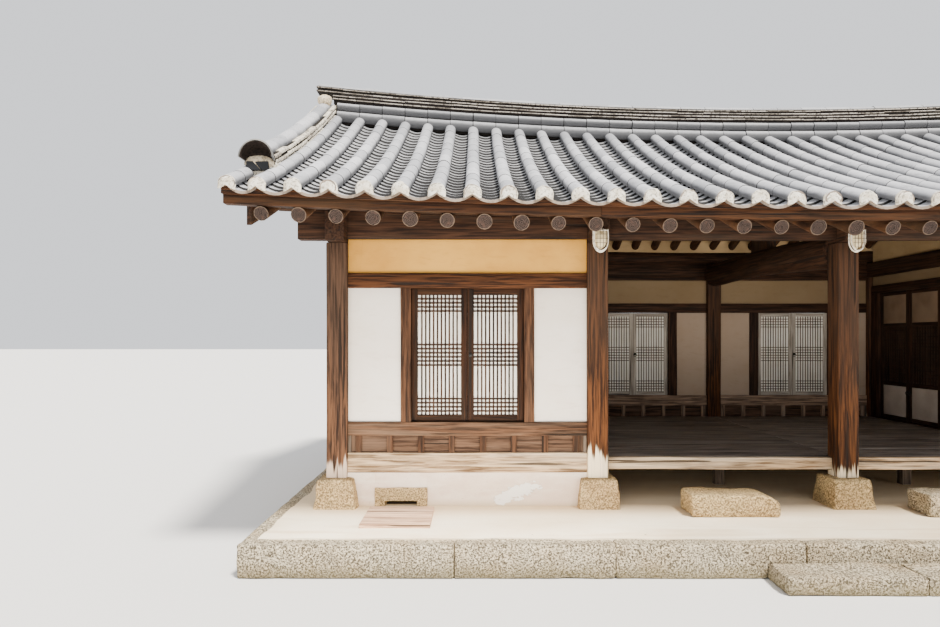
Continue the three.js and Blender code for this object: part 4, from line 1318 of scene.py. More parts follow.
def infill():
    """Plaster between the rafters over a purlin, and a fillet between the purlin and its tie."""
    parts = []
    rafter_foot = rafter_axis(COLUMN_Y) + RAFTER_TOP + 0.01
    over = (-0.03, 0.03, PURLIN_Z + 0.038, rafter_foot, CEILING_PLASTER)
    corner = (-0.097, -0.04, 3.046, 3.108, OLD_WOOD["X"])
    for front, back, foot, head, material in (over, corner):
        strip = spare(unit_cube(cuts_x=40, bevel=False))

        def placed(u, v, w):
            x = u * 2 * (GABLE_X + 0.5)
            y = -COLUMN_Y + np.where(v > 0, back, front)
            return x, y, np.where(w > 0, head, foot) + lift(x)

        parts.append(dress(tint(shape(strip, placed), 0.5), material))
    return join(parts)


def rafters():
    places = [k * RAFTER_PITCH for k in range(-RAFTERS_EACH_SIDE, RAFTERS_EACH_SIDE + 1)]
    keep_pair("rafter_logs", join([rafter(x) for x in places]), "rafters")
    keep_pair("eave_board", eave_board(), "rafters")
    keep_pair("rafter_infill", infill())


def purlin_log(y, z):
    log = spare(BIG_LOG)
    phase = chance.uniform(0, math.tau)

    def laid(u, v, w):
        x, across, up = w * 2 * PURLIN_END, u, v
        radius = PURLIN_RADIUS * (1 + 0.03 * np.sin(x * 1.9 + phase))
        return x, y + across * radius, z + up * radius + lift(x)

    return dress(tint(shape(log, laid)), OLD_WOOD["X"])


def purlins():
    for side, y in (("front", -COLUMN_Y), ("back", COLUMN_Y)):
        parts = [purlin_log(y, PURLIN_Z)]
        stops = [-PURLIN_END + TIE_INSET, *COLUMN_X, PURLIN_END - TIE_INSET]
        for start, end in zip(stops, stops[1:]):
            x0, x1 = start + BEAM_HALF + 0.0005, end - BEAM_HALF - 0.0005
            lo, hi = (x0, y - TIE_HALF, TIE_FOOT), (x1, y + TIE_HALF, BEAM_TOP + 0.015)
            tie = beam(lo, hi, OLD_WOOD)
            shape(tie, lambda x, y, z: (x, y, z + (z > 2.95) * lift(x)))
            parts.append(tie)
        keep(f"purlin_log_{side}", parts, [f"purlin_{side}"])
    keep("purlin_log_ridge", [purlin_log(0, RIDGE_PURLIN_Z)], ["purlin_ridge"])


LOG_FOOT_FRONT = 2.600
LOG_FOOT_BACK = 2.700
LOG_HALF_WIDTH = 0.140
LOG_HALF_HEIGHT = 0.165
LOG_ARCH = 0.040


def crossbeam():
    """The curved log over the middle of the hall, with its squared ends and the king post."""
    log = spare(BIG_LOG)
    reach = COLUMN_Y - HALF_COLUMN

    def laid(u, v, w):
        way = w + 0.5
        foot = LOG_FOOT_FRONT + (LOG_FOOT_BACK - LOG_FOOT_FRONT) * way
        axis = foot + LOG_HALF_HEIGHT + LOG_ARCH * np.sin(math.pi * way)
        swell = 1 + 0.02 * np.sin(way * 9)
        return v * LOG_HALF_WIDTH * swell, (2 * way - 1) * reach, axis + u * LOG_HALF_HEIGHT * swell

    shape(log, laid)
    roughen(log, 0.006, 3.2)
    dress(tint(log, 0.5), OLD_WOOD["Y"])
    parts = [log]
    inner = COLUMN_Y - 2 * HALF_COLUMN
    for sign in (-1, 1):
        y0, y1 = sorted((sign * inner, sign * BEAM_REACH))
        parts.append(beam((-BEAM_HALF, y0, COLUMN_TOP), (BEAM_HALF, y1, BEAM_TOP), OLD_WOOD, 0.012))
    foot, head = LOG_FOOT_BACK + LOG_HALF_HEIGHT, RIDGE_PURLIN_Z - PURLIN_RADIUS
    post = fitted(BAR, (-KING_POST_HALF, -0.25, foot), (KING_POST_HALF, 0.25, head))
    shape(post, lambda x, y, z: (x, y * (1 - 0.52 * (z - foot) / (head - foot)), z))
    parts.append(dress(tint(post), OLD_WOOD["Z"]))
    keep("curved_crossbeam", parts, ["hall_crossbeam"])


def beam_frame(name, x):
    """A tie beam on two columns, the king post on it and plaster up to the rafters."""
    rise = float(lift(abs(x) - BEAM_HALF))
    top = BEAM_TOP + rise
    lo, hi = (x - BEAM_HALF, -BEAM_REACH, COLUMN_TOP + 0.001), (x + BEAM_HALF, BEAM_REACH, top)
    tie = beam(lo, hi, OLD_WOOD, 0.012)
    head = RIDGE_PURLIN_Z + rise - PURLIN_RADIUS
    post = beam((x - 0.06, -0.12, top - 0.01), (x + 0.06, 0.12, head), OLD_WOOD, 0.008)
    keep(f"{name}_timbers", [tie, post], [name])
    end = COLUMN_Y - HALF_COLUMN
    half = np.array([0.0999, 0.1, 0.4, 0.8, 1.2, end])
    stations = np.concatenate([-half[::-1], half])
    field = spare(unit_cube(cuts_y=len(stations) - 2, bevel=False))

    def filled(u, v, w):
        y = stations[np.rint((v + 0.5) * (len(stations) - 1)).astype(int)]
        under = rafter_axis(y) - RAFTER_TOP + rise - 0.001
        under = np.where(np.abs(y) < 0.09999, head, under)
        return x + u * PANEL_DEPTH, y, np.where(w > 0, under, top - 0.01)

    keep(f"{name}_plaster", [dress(tint(shape(field, filled)), CEILING_PLASTER)], [name])


def bargeboards():
    """The boards under each verge, copied from their solids and given worn edges."""
    for side in ("left", "right"):
        node = f"bargeboard_{side}"
        board = spare(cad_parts[node].data)
        modify(board, "WELD", merge_threshold=0.0005)
        modify(board, "DECIMATE", decimate_type="DISSOLVE", angle_limit=math.radians(0.5))
        modify(board, "BEVEL", width=0.005, segments=2, limit_method="ANGLE")
        keep(f"verge_{node}", [dress(tint(board, 0.6), VERGE_WOOD)], [node])


# Columns and walls

COLUMN_AGES = (0.30, 0.36, 0.62, 0.40, 0.50)
DARK_FEET = (0.6, 0.0, 1.0, 0.4, 0.7)


def columns():
    """Square posts. Those of the left gable have a more weathered face."""
    for i, x in enumerate(COLUMN_X):
        for side, y in (("front", -COLUMN_Y), ("back", COLUMN_Y)):
            lo = (x - HALF_COLUMN, y - HALF_COLUMN, STONE_TOP)
            hi = (x + HALF_COLUMN, y + HALF_COLUMN, COLUMN_TOP)
            post = fitted(BAR, lo, hi, "Z", 0.012)
            sway(post, "Z", 0.0018)
            mark(post, "dark_foot", np.full(len(post.data.vertices), DARK_FEET[i]))
            dress(tint(post, COLUMN_AGES[i]), COLUMN_WOOD if i else AGED_COLUMN)
            keep(f"post_{side}_{i + 1}", [post], [f"column_{side}_{i + 1}"])


def span(along, at, u, depth, z):
    """Corners of a wall member: along the wall, through it, and up."""
    through = (at - depth / 2, at + depth / 2)
    a, b = (u, through) if along == "X" else (through, u)
    return (a[0], b[0], z[0]), (a[1], b[1], z[1])


def bay_run(bay):
    """Between the faces of two neighbouring columns."""
    return COLUMN_X[bay] + HALF_COLUMN, COLUMN_X[bay + 1] - HALF_COLUMN


def dado(along, at, run, z, woods, boards):
    """Short posts over a beam, with thin boards set back between them and a slim block at each end."""
    count = int((run[1] - run[0] - 2 * DADO_HALF_POST) / DADO_PITCH)
    first = (run[0] + run[1] - count * DADO_PITCH) / 2
    posts = [first + i * DADO_PITCH for i in range(count + 1)]
    parts = []
    for u in posts:
        ends = (u - DADO_HALF_POST, u + DADO_HALF_POST)
        parts.append(beam(*span(along, at, ends, WALL_DEPTH - 0.008, z), woods, 0.004))
    for start, end in ((run[0], run[0] + DADO_BLOCK), (run[1] - DADO_BLOCK, run[1])):
        parts.append(beam(*span(along, at, (start, end), WALL_DEPTH - 0.02, z), GREY_WOOD, 0.003, tone=0.1))
    stops = [run[0], *posts, run[1]]
    for start, end in zip(stops, stops[1:]):
        parts.append(beam(*span(along, at, (start + LAP, end - LAP), DADO_BOARD_DEPTH, z), boards, 0.003))
    return parts


def wall(name, along, at, run, rails, posts, fields, dado_z=None, underwall=True, extra=(), woods=OLD_WOOD,
         dado_woods=(OLD_WOOD, DADO_WOOD)):
    """A wall: rails as (z, woods, depth), posts as (u, z), plaster fields as (u, z, material)."""
    timbers = []
    for z, rail_woods, depth in rails:
        timbers.append(beam(*span(along, at, run, depth, z), rail_woods, 0.008))
    for u, z in posts:
        timbers.append(beam(*span(along, at, u, WALL_DEPTH, z), woods, 0.006))
    if dado_z:
        timbers += dado(along, at, run, dado_z, *dado_woods)
    keep(f"{name}_timbers", timbers, [name])
    panels = [panel(*span(along, at, u, PANEL_DEPTH, z), material) for u, z, material in fields]
    if underwall:
        panels.append(clay_foot(along, at, run))
    panels += extra
    keep(f"{name}_plaster", panels, [name])


def clay_foot(along, at, run, foot=PLATFORM_TOP - LAP, head=FOOT_BEAM[0] + LAP):
    """Rendered wall under the foot beam."""
    return panel(*span(along, at, run, WALL_DEPTH - 0.012, (foot, head)), UNDERWALL, 0.008, 3.0)


def between(low, high):
    """From the head of one rail to the foot of the next, with a lap into both."""
    return low[1] - LAP, high[0] + LAP


def window_bay(run, half, post, light):
    """The posts beside a window in the middle of a bay, and the plaster fields beyond them."""
    centre = sum(run) / 2
    edge = half + post
    posts = [((centre - edge, centre - half), light), ((centre + half, centre + edge), light)]
    sides = ((run[0], centre - edge + LAP), (centre + edge - LAP, run[1]))
    return posts, [(side, light, WHITE_PLASTER) for side in sides]


def air_vent(run, centre):
    """The wall foot around a low air vent: a real opening between granite jambs, under a lintel."""
    start, end = centre - VENT_HALF - VENT_JAMB, centre + VENT_HALF + VENT_JAMB
    parts = [
        clay_foot("X", -COLUMN_Y, (run[0], start)),
        clay_foot("X", -COLUMN_Y, (end, run[1])),
        clay_foot("X", -COLUMN_Y, (start, end), VENT_TOP + VENT_LINTEL - 0.01),
    ]
    lintel = span("X", -COLUMN_Y, (start, end), 0.146, (VENT_TOP, VENT_TOP + VENT_LINTEL))
    parts.append(stone(*lintel, TAN_GRANITE, "X", 0.010, 0.004, 7))
    for jamb in ((start, centre - VENT_HALF), (centre + VENT_HALF, end)):
        low = span("X", -COLUMN_Y, jamb, 0.140, (PLATFORM_TOP - 0.01, VENT_TOP + LAP))
        parts.append(stone(*low, TAN_GRANITE, "X", 0.008, 0.003, 7))
    return parts


def front_walls():
    """The room bays of the front, each with a window and a low air vent."""
    for side, bay, sign in (("left", 0, -1), ("right", 3, 1)):
        run = bay_run(bay)
        posts, fields = window_bay(run, WINDOW_HALF, WINDOW_POST, between(FRONT_SILL, FRONT_LINTEL))
        # The band over the lintel takes the plaster tinted tan as painted shade and bounce light.
        fields.append((run, (FRONT_LINTEL[1] - LAP, TIE_FOOT), SHADED_BAND_PLASTER))
        rails = [
            (FOOT_BEAM, PALE_WOOD, WALL_DEPTH + 0.012),
            (FRONT_SILL, SILL_WOOD, WALL_DEPTH + 0.016),
            (FRONT_LINTEL, RED_WOOD, WALL_DEPTH),
        ]
        vent = air_vent(run, sign * (GABLE_X - HALF_COLUMN - VENT_INSET - VENT_HALF))
        wall(f"front_wall_{side}", "X", -COLUMN_Y, run, rails, posts, fields, between(FOOT_BEAM, FRONT_SILL),
             False, vent, POST_WOOD, (POST_WOOD, DADO_WOOD))


def back_walls():
    """The four bays of the back, each with a window over boards and short posts."""
    foot, head = (FOOT_BEAM[0], FLOOR_TOP), (BACK_HEAD, TIE_FOOT)
    rails = [
        (foot, OLD_WOOD, WALL_DEPTH),
        (BACK_SILL, LIT_HALL_WOOD, WALL_DEPTH + 0.01),
        (BACK_LINTEL, OLD_WOOD, WALL_DEPTH),
        (head, OLD_WOOD, WALL_DEPTH),
    ]
    for bay in range(4):
        run = bay_run(bay)
        light = between(BACK_SILL, BACK_LINTEL)
        posts, fields = window_bay(run, BACK_WINDOW_HALF, BACK_WINDOW_POST, light)
        fields.append((run, between(BACK_LINTEL, head), HEAD_PLASTER))
        wall(f"back_wall_{bay + 1}", "X", COLUMN_Y, run, rails, posts, fields, between(foot, BACK_SILL),
             dado_woods=(LIT_HALL_WOOD, DADO_WOOD))


def cross_walls():
    """The gable walls, the partitions with their door openings, and the beam frames over them."""
    reach = COLUMN_Y - HALF_COLUMN
    run = (-reach, reach)
    for side, sign in (("left", -1), ("right", 1)):
        light = between(FRONT_SILL, FRONT_LINTEL)
        rails = [
            (FOOT_BEAM, GREY_WOOD, WALL_DEPTH + 0.01),
            (FRONT_SILL, OLD_WOOD, WALL_DEPTH),
            (FRONT_LINTEL, OLD_WOOD, WALL_DEPTH),
        ]
        fields = [
            (run, between(FOOT_BEAM, FRONT_SILL), WHITE_PLASTER),
            ((-reach, -WINDOW_POST), light, WHITE_PLASTER),
            ((WINDOW_POST, reach), light, WHITE_PLASTER),
            (run, (FRONT_LINTEL[1] - LAP, COLUMN_TOP), WHITE_PLASTER),
        ]
        posts = [((-WINDOW_POST, WINDOW_POST), light)]
        wall(f"gable_wall_{side}", "Y", sign * GABLE_X, run, rails, posts, fields)
        head = (DOORS_Z[1], DOORS_Z[1] + DOOR_HEAD)
        rails = [((FOOT_BEAM[0], DOORS_Z[0]), OLD_WOOD, WALL_DEPTH), (head, OLD_WOOD, WALL_DEPTH)]
        posts = [((DOORS_Y[0] - WINDOW_POST, DOORS_Y[0]), DOORS_Z), ((DOORS_Y[1], reach), DOORS_Z)]
        fields = [
            ((-reach, DOORS_Y[0] - WINDOW_POST + LAP), DOORS_Z, WHITE_PLASTER),
            (run, (head[1] - LAP, COLUMN_TOP), HEAD_PLASTER),
        ]
        wall(f"hall_partition_{side}", "Y", sign * HALL_X, run, rails, posts, fields)
        beam_frame(f"gable_beam_{side}", sign * GABLE_X)
        beam_frame(f"hall_beam_{side}", sign * HALL_X)


# Windows and doors

def stick(lo, hi, woods, tone):
    """A thin straight bar with sharp edges."""
    return dress(tint(fitted(STICK, lo, hi), tone), woods[longest(lo, hi)])


def lattice(along, at, u, z, uprights, rows, bar, woods):
    """Bars across a paper field: even uprights, and level bars at the given heights."""
    parts = []
    pitch = (u[1] - u[0]) / (uprights + 1)
    for i in range(1, uprights + 1):
        centre = u[0] + i * pitch
        across = (centre - bar / 2, centre + bar / 2)
        parts.append(stick(*span(along, at, across, LATTICE_DEPTH, z), woods, 0.4))
    for height in rows:
        level = (height - bar / 2, height + bar / 2)
        parts.append(stick(*span(along, at, u, LATTICE_DEPTH * 0.9, level), woods, 0.4))
    return parts


def grouped_rows(z, pitch):
    """Heights of the level bars: four cells at the top and at the foot, five in the middle."""
    centre = (z[0] + z[1]) / 2
    top = [z[1] - pitch * i for i in range(1, 5)]
    foot = [z[0] + pitch * i for i in range(1, 5)]
    belt = [centre + pitch * (i - 2.5) for i in range(6)]
    return top + belt + foot


def frame_of(along, at, u, z, stile, depth, woods, rails=()):
    """Stiles and rails around a field, all of one tone."""
    tone = chance.random()
    parts = []
    for ends in ((u[0], u[0] + stile), (u[1] - stile, u[1])):
        parts.append(beam(*span(along, at, ends, depth, z), woods, 0.003, 0, tone))
    inner = (u[0] + stile - 0.002, u[1] - stile + 0.002)
    half = stile / 2
    for height in (z[0] + half, z[1] - half, *rails):
        rail = span(along, at, inner, depth * 0.96, (height - half, height + half))
        parts.append(beam(*rail, woods, 0.003, 0, tone))
    return parts


def sheet(corners, paper):
    """A sheet of paper, of a tone of its own."""
    return dress(tint(fitted(PANEL, *corners, "Z", 0.001)), paper)


def pull_ring(x, y, z, along):
    """A round iron plate with a hanging ring."""
    plate = added(bpy.ops.mesh.primitive_cylinder_add, vertices=20, radius=0.019, depth=0.008, rotation=LYING)
    modify(plate, "BEVEL", width=0.002, segments=2, limit_method="ANGLE")
    ring = added(bpy.ops.mesh.primitive_torus_add, major_radius=0.022, minor_radius=0.0035, major_segments=24,
                 minor_segments=8, rotation=LYING, location=(0, 0, -0.014))
    shape(ring, lambda a, b, c: (a, b - 0.008 * np.sign(y), c))
    whole = join([plate, ring])
    if along == "Y":
        shape(whole, lambda a, b, c: (b, -a, c))
    shape(whole, lambda a, b, c: (a + x, b + y, c + z))
    return dress(tint(whole, 0.5), IRON)


# Half width, height, woods of bars and sashes, and widths of stiles and bars
FRONT_WINDOW = (WINDOW_HALF, (FRONT_SILL[1], FRONT_LINTEL[0]), DARK_WOOD, SASH_WOOD, 0.062, 0.0155)
BACK_WINDOW = (BACK_WINDOW_HALF, (BACK_SILL[1], BACK_LINTEL[0]), GREY_WOOD, BACK_SASH, 0.054, 0.011)


def windows():
    """Two-leaf windows, with a lattice over the paper and a ring pull on each face."""
    spots = [("front_left", 0, -1), ("front_right", 3, -1)] + [(f"back_{i + 1}", i, 1) for i in range(4)]
    for name, bay, side in spots:
        centre = sum(bay_run(bay)) / 2
        y = side * COLUMN_Y
        half, z, woods, sash, stile, bar = FRONT_WINDOW if side < 0 else BACK_WINDOW
        timbers, papers = [], []
        outline = (z[0] + SASH_GAP, z[1] - SASH_GAP)
        for u in ((centre - half + SASH_GAP, centre - 0.001), (centre + 0.001, centre + half - SASH_GAP)):
            timbers += frame_of("X", y, u, outline, stile, SASH_DEPTH, sash)
            field = (u[0] + stile, u[1] - stile)
            tall = (z[0] + stile, z[1] - stile)
            rows = grouped_rows(tall, LATTICE_PITCH)
            timbers += lattice("X", y, field, tall, WINDOW_UPRIGHTS, rows, bar, woods)
            wide, high = ((low - 0.005, top + 0.005) for low, top in (field, tall))
            papers.append(sheet(span("X", y, wide, 0.004, high), PAPER))
        keep(f"window_{name}_sashes", timbers, [f"window_{name}"])
        keep(f"window_{name}_paper", papers, [f"window_{name}"])
        rings = []
        for face in (-1, 1):
            rings.append(pull_ring(centre + 0.03, y + face * 0.024, (z[0] + z[1]) / 2, "X"))
        keep(f"window_{name}_rings", rings)


def folding_doors():
    """Leaves with a latticed field between the rails, and papered panels at head and foot."""
    width = (DOORS_Y[1] - DOORS_Y[0]) / DOOR_LEAVES
    tall = (DOOR_RAILS[0] + 0.027, DOOR_RAILS[1] - 0.027)
    rows = [tall[0] + (tall[1] - tall[0]) * k / DOOR_CELLS for k in range(1, DOOR_CELLS)]
    # The door papers are painted shade: darkened at head and foot, and near-black in the latticed field.
    sheets = (
        ((DOORS_Z[0] + 0.05, DOOR_RAILS[0] - 0.022), 0.026, SHADED_FOOT_PAPER),
        (tall, 0.004, SHADOW_PAPER),
        ((DOOR_RAILS[1] + 0.022, DOORS_Z[1] - 0.05), 0.026, SHADED_HEAD_PAPER),
    )
    for side, sign in (("left", -1), ("right", 1)):
        x = sign * HALL_X
        timbers, papers, knobs = [], [], []
        for i in range(DOOR_LEAVES):
            u = (DOORS_Y[0] + i * width + DOOR_GAP, DOORS_Y[0] + (i + 1) * width - DOOR_GAP)
            timbers += frame_of("Y", x, u, DOORS_Z, DOOR_STILE, SASH_DEPTH, DARK_WOOD, DOOR_RAILS)
            field = (u[0] + DOOR_STILE, u[1] - DOOR_STILE)
            timbers += lattice("Y", x, field, tall, DOOR_UPRIGHTS, rows, DOOR_BAR, DARK_WOOD)
            for z, deep, paper in sheets:
                papers.append(sheet(span("Y", x, (field[0] - LAP, field[1] + LAP), deep, z), paper))
            y = u[1] - KNOB_INSET if i % 2 == 0 else u[0] + KNOB_INSET
            for face in (-1, 1):
                knobs.append(pull_ring(x + face * 0.022, y, KNOB_Z, "Y"))
        keep(f"folding_doors_{side}_leaves", timbers, [f"folding_doors_{side}"])
        keep(f"folding_doors_{side}_paper", papers, [f"folding_doors_{side}"])
        keep(f"folding_doors_{side}_knobs", knobs)


# Floors

def hall_floor():
    """Boards across the hall behind a pale edge, on joists, with two short posts below."""
    front, back = -COLUMN_Y, COLUMN_Y - WALL_DEPTH / 2
    boards = []
    for x0, x1 in ((COLUMN_X[1] + HALF_COLUMN, -HALF_COLUMN), (HALF_COLUMN, COLUMN_X[3] - HALF_COLUMN)):
        lo, hi = (x0, front, FLOOR_FOOT), (x1, front + EDGE_BOARD, FLOOR_TOP + 0.002)
        boards.append(beam(lo, hi, PALE_WOOD, 0.012, 0.003))
    start = front + EDGE_BOARD + 0.002
    width = (back - start) / HALL_BOARDS
    for i in range(HALL_BOARDS):
        y0, y1 = start + i * width, start + (i + 1) * width - 0.002
        for x0, x1 in ((-HALL_X, -0.001), (0.001, HALL_X)):
            height = FLOOR_TOP + chance.uniform(-0.0015, 0.001)
            lo = (x0 + 0.06 * (x0 < -0.1), y0, FLOOR_TOP - BOARD_DEPTH)
            hi = (x1 - 0.06 * (x1 > 0.1), y1, height)
            boards.append(beam(lo, hi, FLOOR_WOOD, 0.003, 0.0008))
    for x in (-HALL_X + 0.09, -HALL_X / 2, 0, HALL_X / 2, HALL_X - 0.09):
        lo, hi = (x - JOIST_HALF, front + 0.06, FLOOR_FOOT), (x + JOIST_HALF, back, FLOOR_TOP - BOARD_DEPTH)
        boards.append(beam(lo, hi, OLD_WOOD))
    keep("hall_floor_boards", boards, ["hall_floor"])
    near, far = FLOOR_POSTS_Y
    posts = [
        beam((x - JOIST_HALF, near, PLATFORM_TOP - 0.002), (x + JOIST_HALF, far, FLOOR_FOOT + LAP), GREY_WOOD)
        for x in FLOOR_POSTS_X
    ]
    keep("floor_posts", posts)


def room_floors():
    for side in ("left", "right"):
        lo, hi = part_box(f"room_floor_{side}")
        boards = []
        width = (hi.y - lo.y) / ROOM_BOARDS
        for i in range(ROOM_BOARDS):
            y0 = lo.y + i * width
            corners = (lo.x, y0 + 0.001, lo.z), (hi.x, y0 + width - 0.001, hi.z)
            boards.append(beam(*corners, FLOOR_WOOD, 0.003, 0.0005))
        keep(f"room_floor_boards_{side}", boards, [f"room_floor_{side}"])


# Platform and steps

CURB_JOINTS_FRONT = (-3.78, -2.50, -0.99, 0.62, 2.15, 3.48, 4.60)
CURB_JOINTS_SIDE = (-1.55, -0.10, 1.45)
HALF_JOINT = 0.003
YARD_STEP_JOINT = -0.270


def curb():
    """Dressed stones all round the platform, with narrow joints."""
    blocks = []
    far_x, far_y = PLATFORM_HALF.x, PLATFORM_HALF.y
    deep = far_x - EARTH_HALF.x - 0.001
    stops = [-far_x, *CURB_JOINTS_FRONT, far_x]
    for start, end in zip(stops, stops[1:]):
        for sign in (-1, 1):
            y0, y1 = sorted((sign * far_y, sign * (far_y - deep)))
            x0, x1 = sorted((-sign * (start + HALF_JOINT), -sign * (end - HALF_JOINT)))
            blocks.append(stone((x0, y0, 0), (x1, y1, PLATFORM_TOP), GRANITE, "X", 0.018, 0.009, 6))
    stops = [-far_y + deep, *CURB_JOINTS_SIDE, far_y - deep]
    for start, end in zip(stops, stops[1:]):
        for sign in (-1, 1):
            x0, x1 = sorted((sign * far_x, sign * (far_x - deep)))
            corners = (x0, start + HALF_JOINT, 0), (x1, end - HALF_JOINT, PLATFORM_TOP)
            blocks.append(stone(*corners, GRANITE, "Y", 0.018, 0.009, 6))
    keep("curb_stones", blocks, ["platform_curb"])


def platform_top():
    """Trodden earth that laps over the inner half of the curb stones with a wandering edge."""
    core = spare(unit_cube(90, 54, bevel=False))
    reach_x, reach_y = (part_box("platform_core")[1][k] + 0.125 for k in (0, 1))
    top = PLATFORM_TOP + 0.001
    shape(core, lambda u, v, w: (u * 2 * reach_x, v * 2 * reach_y, np.where(w > 0, top, 0.02)))
    for vertex in core.data.vertices:
        spot = vertex.co.copy()
        wander = 0.030 * noise.fractal(spot * 2.3, 0.8, 2.0, 3)
        if abs(abs(spot.x) - reach_x) < 0.001:
            vertex.co.x += wander * math.copysign(1, spot.x)
        if abs(abs(spot.y) - reach_y) < 0.001:
            vertex.co.y += wander * math.copysign(1, spot.y)
        if spot.z > 0.1:
            edge = max(abs(spot.x) - reach_x, abs(spot.y) - reach_y) + 0.35
            vertex.co.z += 0.003 * noise.fractal(spot * 1.7, 0.8, 2.0, 3) + 0.002 + 0.016 * max(edge, 0)
    keep("platform_earth", [dress(tint(core, 0.5), EARTH)], ["platform_core"])


def base_stones():
    """A stone under each column, tapered towards its top."""
    stones = []
    for x in COLUMN_X:
        for y in (-COLUMN_Y, COLUMN_Y):
            lo = (x - STONE_HALF, y - STONE_HALF, PLATFORM_TOP - 0.03)
            hi = (x + STONE_HALF, y + STONE_HALF, STONE_TOP + 0.002)
            block = fitted(STONE, lo, hi, "Z", 0.022)

            def tapered(a, b, c):
                narrow = 1 - 0.16 * (c - lo[2]) / 0.31
                return x + (a - x) * narrow, y + (b - y) * narrow, c

            shape(block, tapered)
            roughen(block, 0.012, 7)
            stones.append(dress(tint(block), TAN_GRANITE))
    keep("base_stones", stones)


def steps():
    """The long step in the yard, in two lengths, and the two rough step stones."""
    lo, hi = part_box("yard_step")
    blocks = []
    for start, end in ((lo.x, YARD_STEP_JOINT - HALF_JOINT), (YARD_STEP_JOINT + HALF_JOINT, hi.x)):
        blocks.append(stone((start, lo.y, 0), (end, hi.y, hi.z), GRANITE, "X", 0.02, 0.009, 3.5))
    keep("yard_step_stones", blocks, ["yard_step"])
    for side in ("left", "right"):
        lo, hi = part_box(f"step_stone_{side}")
        block = stone(lo, hi, TAN_GRANITE if side == "left" else GRANITE, "X", 0.028, 0.012, 4.5)
        if side == "left":
            shape(block, lambda x, y, z: (x, y, z - np.maximum(x - hi.x + 0.13, 0) * 0.6 * (z > lo.z + 0.1)))
        keep(f"rough_step_{side}", [block], [f"step_stone_{side}"])


def vent_board():
    """The board over the air vent's pit, with a small slot for a finger."""
    lo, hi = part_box("vent_cover")
    slot_y = lo.y + 0.24
    near, far = slot_y - 0.012, slot_y + 0.012
    sides = (((lo.x, lo.y), (hi.x, near)), ((lo.x, far), (hi.x, hi.y)))
    ends = (((lo.x, near), (lo.x + 0.15, far)), ((lo.x + 0.24, near), (hi.x, far)))
    parts = [beam((*a, lo.z), (*b, hi.z), PINK_WOOD, 0.004, 0.001, 0.3) for a, b in sides]
    parts += [beam((*a, lo.z), (*b, hi.z), PINK_WOOD, 0.001, 0, 0.3) for a, b in ends]
    keep("vent_board", parts, ["vent_cover"])


# Lamps

def u_shape(x, z):
    """Squares up the top half of a round outline."""
    reach = np.hypot(x, z) / np.maximum(np.maximum(np.abs(x), np.abs(z)), 1e-6)
    grow = np.where(z > 0, 1 + (reach - 1) * 0.9, 1)
    return x * grow, z * grow


def milky_cover(lo, hi):
    """A cover squared above and round below, bulging to the front."""
    centre, half = (lo + hi) / 2, (hi - lo) / 2
    cover = added(bpy.ops.mesh.primitive_uv_sphere_add, segments=28, ring_count=16, radius=1)

    def bulged(x, y, z):
        a, c = u_shape(x, z)
        out = hi.y - 0.010 + np.minimum(y, 0) * (2 * half.y - 0.022)
        return centre.x + a * half.x * 0.76, out, centre.z + 0.014 + c * half.z * 0.80

    return dress(tint(shape(cover, bulged), 0.5), LAMP_COVER)


def wire_cage(lo, hi):
    """Two pale hoops with upright and level wires across the front."""
    centre, half = (lo + hi) / 2, (hi - lo) / 2
    cage = []
    for out, size in ((hi.y - 0.016, 1.0), ((lo.y + hi.y) / 2 - 0.01, 0.93)):
        hoop = added(bpy.ops.mesh.primitive_torus_add, major_radius=1, minor_radius=0.075,
                     major_segments=40, minor_segments=8, rotation=LYING)

        def bent(x, y, z):
            a, c = u_shape(x, z)
            across, up = a * half.x * size * 0.93, c * half.z * size * 0.93
            return centre.x + across, out + y * 0.09, centre.z + up

        cage.append(dress(tint(shape(hoop, bent), 0.5), CAGE_PAINT))
    for k in range(4):
        x, reach = centre.x + (k - 1.5) * half.x * 0.40, half.z * (0.74 if k in (1, 2) else 0.60)
        head = (x + 0.002, lo.y + 0.005, centre.z + 0.80 * half.z)
        cage.append(stick((x - 0.002, lo.y, centre.z - reach), head, GREY_WOOD, 0.2))
    for k in range(5):
        z, reach = centre.z + (k - 1.7) * half.z * 0.36, half.x * (0.78 if k else 0.60)
        end = (centre.x + reach, lo.y + 0.006, z + 0.002)
        cage.append(stick((centre.x - reach, lo.y + 0.001, z - 0.002), end, GREY_WOOD, 0.2))
    return cage


def lamps():
    for side in ("left", "middle", "right"):
        lo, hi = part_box(f"lamp_{side}")
        keep(f"lamp_{side}_cover", [milky_cover(lo, hi)], [f"lamp_{side}"])
        keep(f"lamp_{side}_cage", wire_cage(lo, hi))


# The house

roof_slopes()
main_ridge()
gable_ridges()
rafters()
purlins()
crossbeam()
bargeboards()
columns()
front_walls()
back_walls()
cross_walls()
windows()
folding_doors()
hall_floor()
room_floors()
curb()
platform_top()
base_stones()
steps()
vent_board()
lamps()


# Camera, floor and light

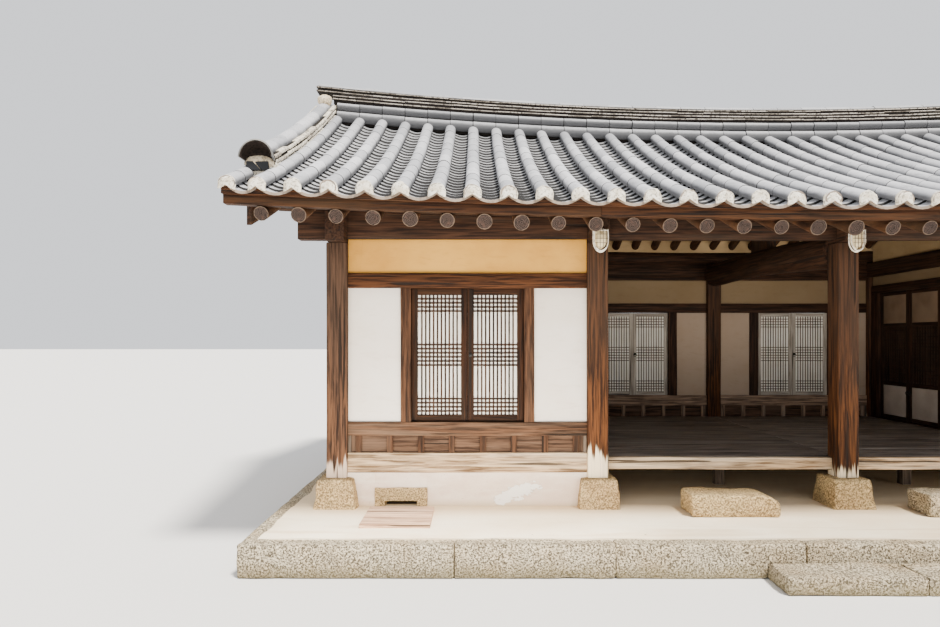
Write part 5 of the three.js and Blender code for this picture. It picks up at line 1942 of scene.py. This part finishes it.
IMAGE_WIDTH = 940
CAMERA_PLACE = (-3.615, -7.857, 1.888)
VANISHING_RIGHT = 5
HORIZON_BELOW = 26.5


def camera():
    bpy.ops.object.camera_add(location=CAMERA_PLACE, rotation=(math.pi / 2, 0, 0))
    eye = bpy.context.object
    eye.data.lens = 24
    eye.data.sensor_width = 36
    eye.data.shift_x = -VANISHING_RIGHT / IMAGE_WIDTH
    eye.data.shift_y = HORIZON_BELOW / IMAGE_WIDTH
    bpy.context.scene.camera = eye


def area_light(place, turn, depth, energy, colour):
    """Light thrown back by the sunlit yard in front of a room."""
    bpy.ops.object.light_add(type="AREA", location=place, rotation=turn)
    light = bpy.context.object
    light.data.shape = "RECTANGLE"
    light.data.size = 3.2
    light.data.size_y = depth
    light.data.energy = energy
    light.data.color = colour
    light.visible_camera = False
    return light


def studio():
    """Floor, backdrop, sun, and the light that the yard throws back under the eaves."""
    bpy.ops.mesh.primitive_plane_add(size=240, location=(0, 0, -0.002))
    floor = bpy.context.object
    floor.name = "studio_floor"
    paint = Paint("studio_floor", 0.9)
    floor.data.materials.append(paint.finish((0.80, 0.785, 0.76)))
    world = bpy.data.worlds.new("studio")
    bpy.context.scene.world = world
    world.use_nodes = True
    backdrop = world.node_tree.nodes["Background"]
    backdrop.inputs["Color"].default_value = (0.94, 0.96, 1.0, 1)
    backdrop.inputs["Strength"].default_value = 1.25
    bpy.ops.object.light_add(type="SUN")
    key = bpy.context.object
    key.rotation_euler = Vector((-0.30, 0.36, -0.88)).to_track_quat("-Z", "Y").to_euler()
    key.data.energy = 9.0
    key.data.angle = math.radians(9)
    key.data.color = (1.0, 0.95, 0.87)
    for x in (-3.75, 3.75):
        area_light((x, -4.4, 0.02), (math.pi, 0, 0), 1.6, 230, (1.0, 0.92, 0.80))
        glow = area_light((x, -2.95, 0.62), (0, 0, 0), 0.3, 38, (1.0, 0.93, 0.83))
        glow.rotation_euler = (Vector((x, -1.7, 0.80)) - glow.location).to_track_quat("-Z", "Y").to_euler()


camera()
studio()
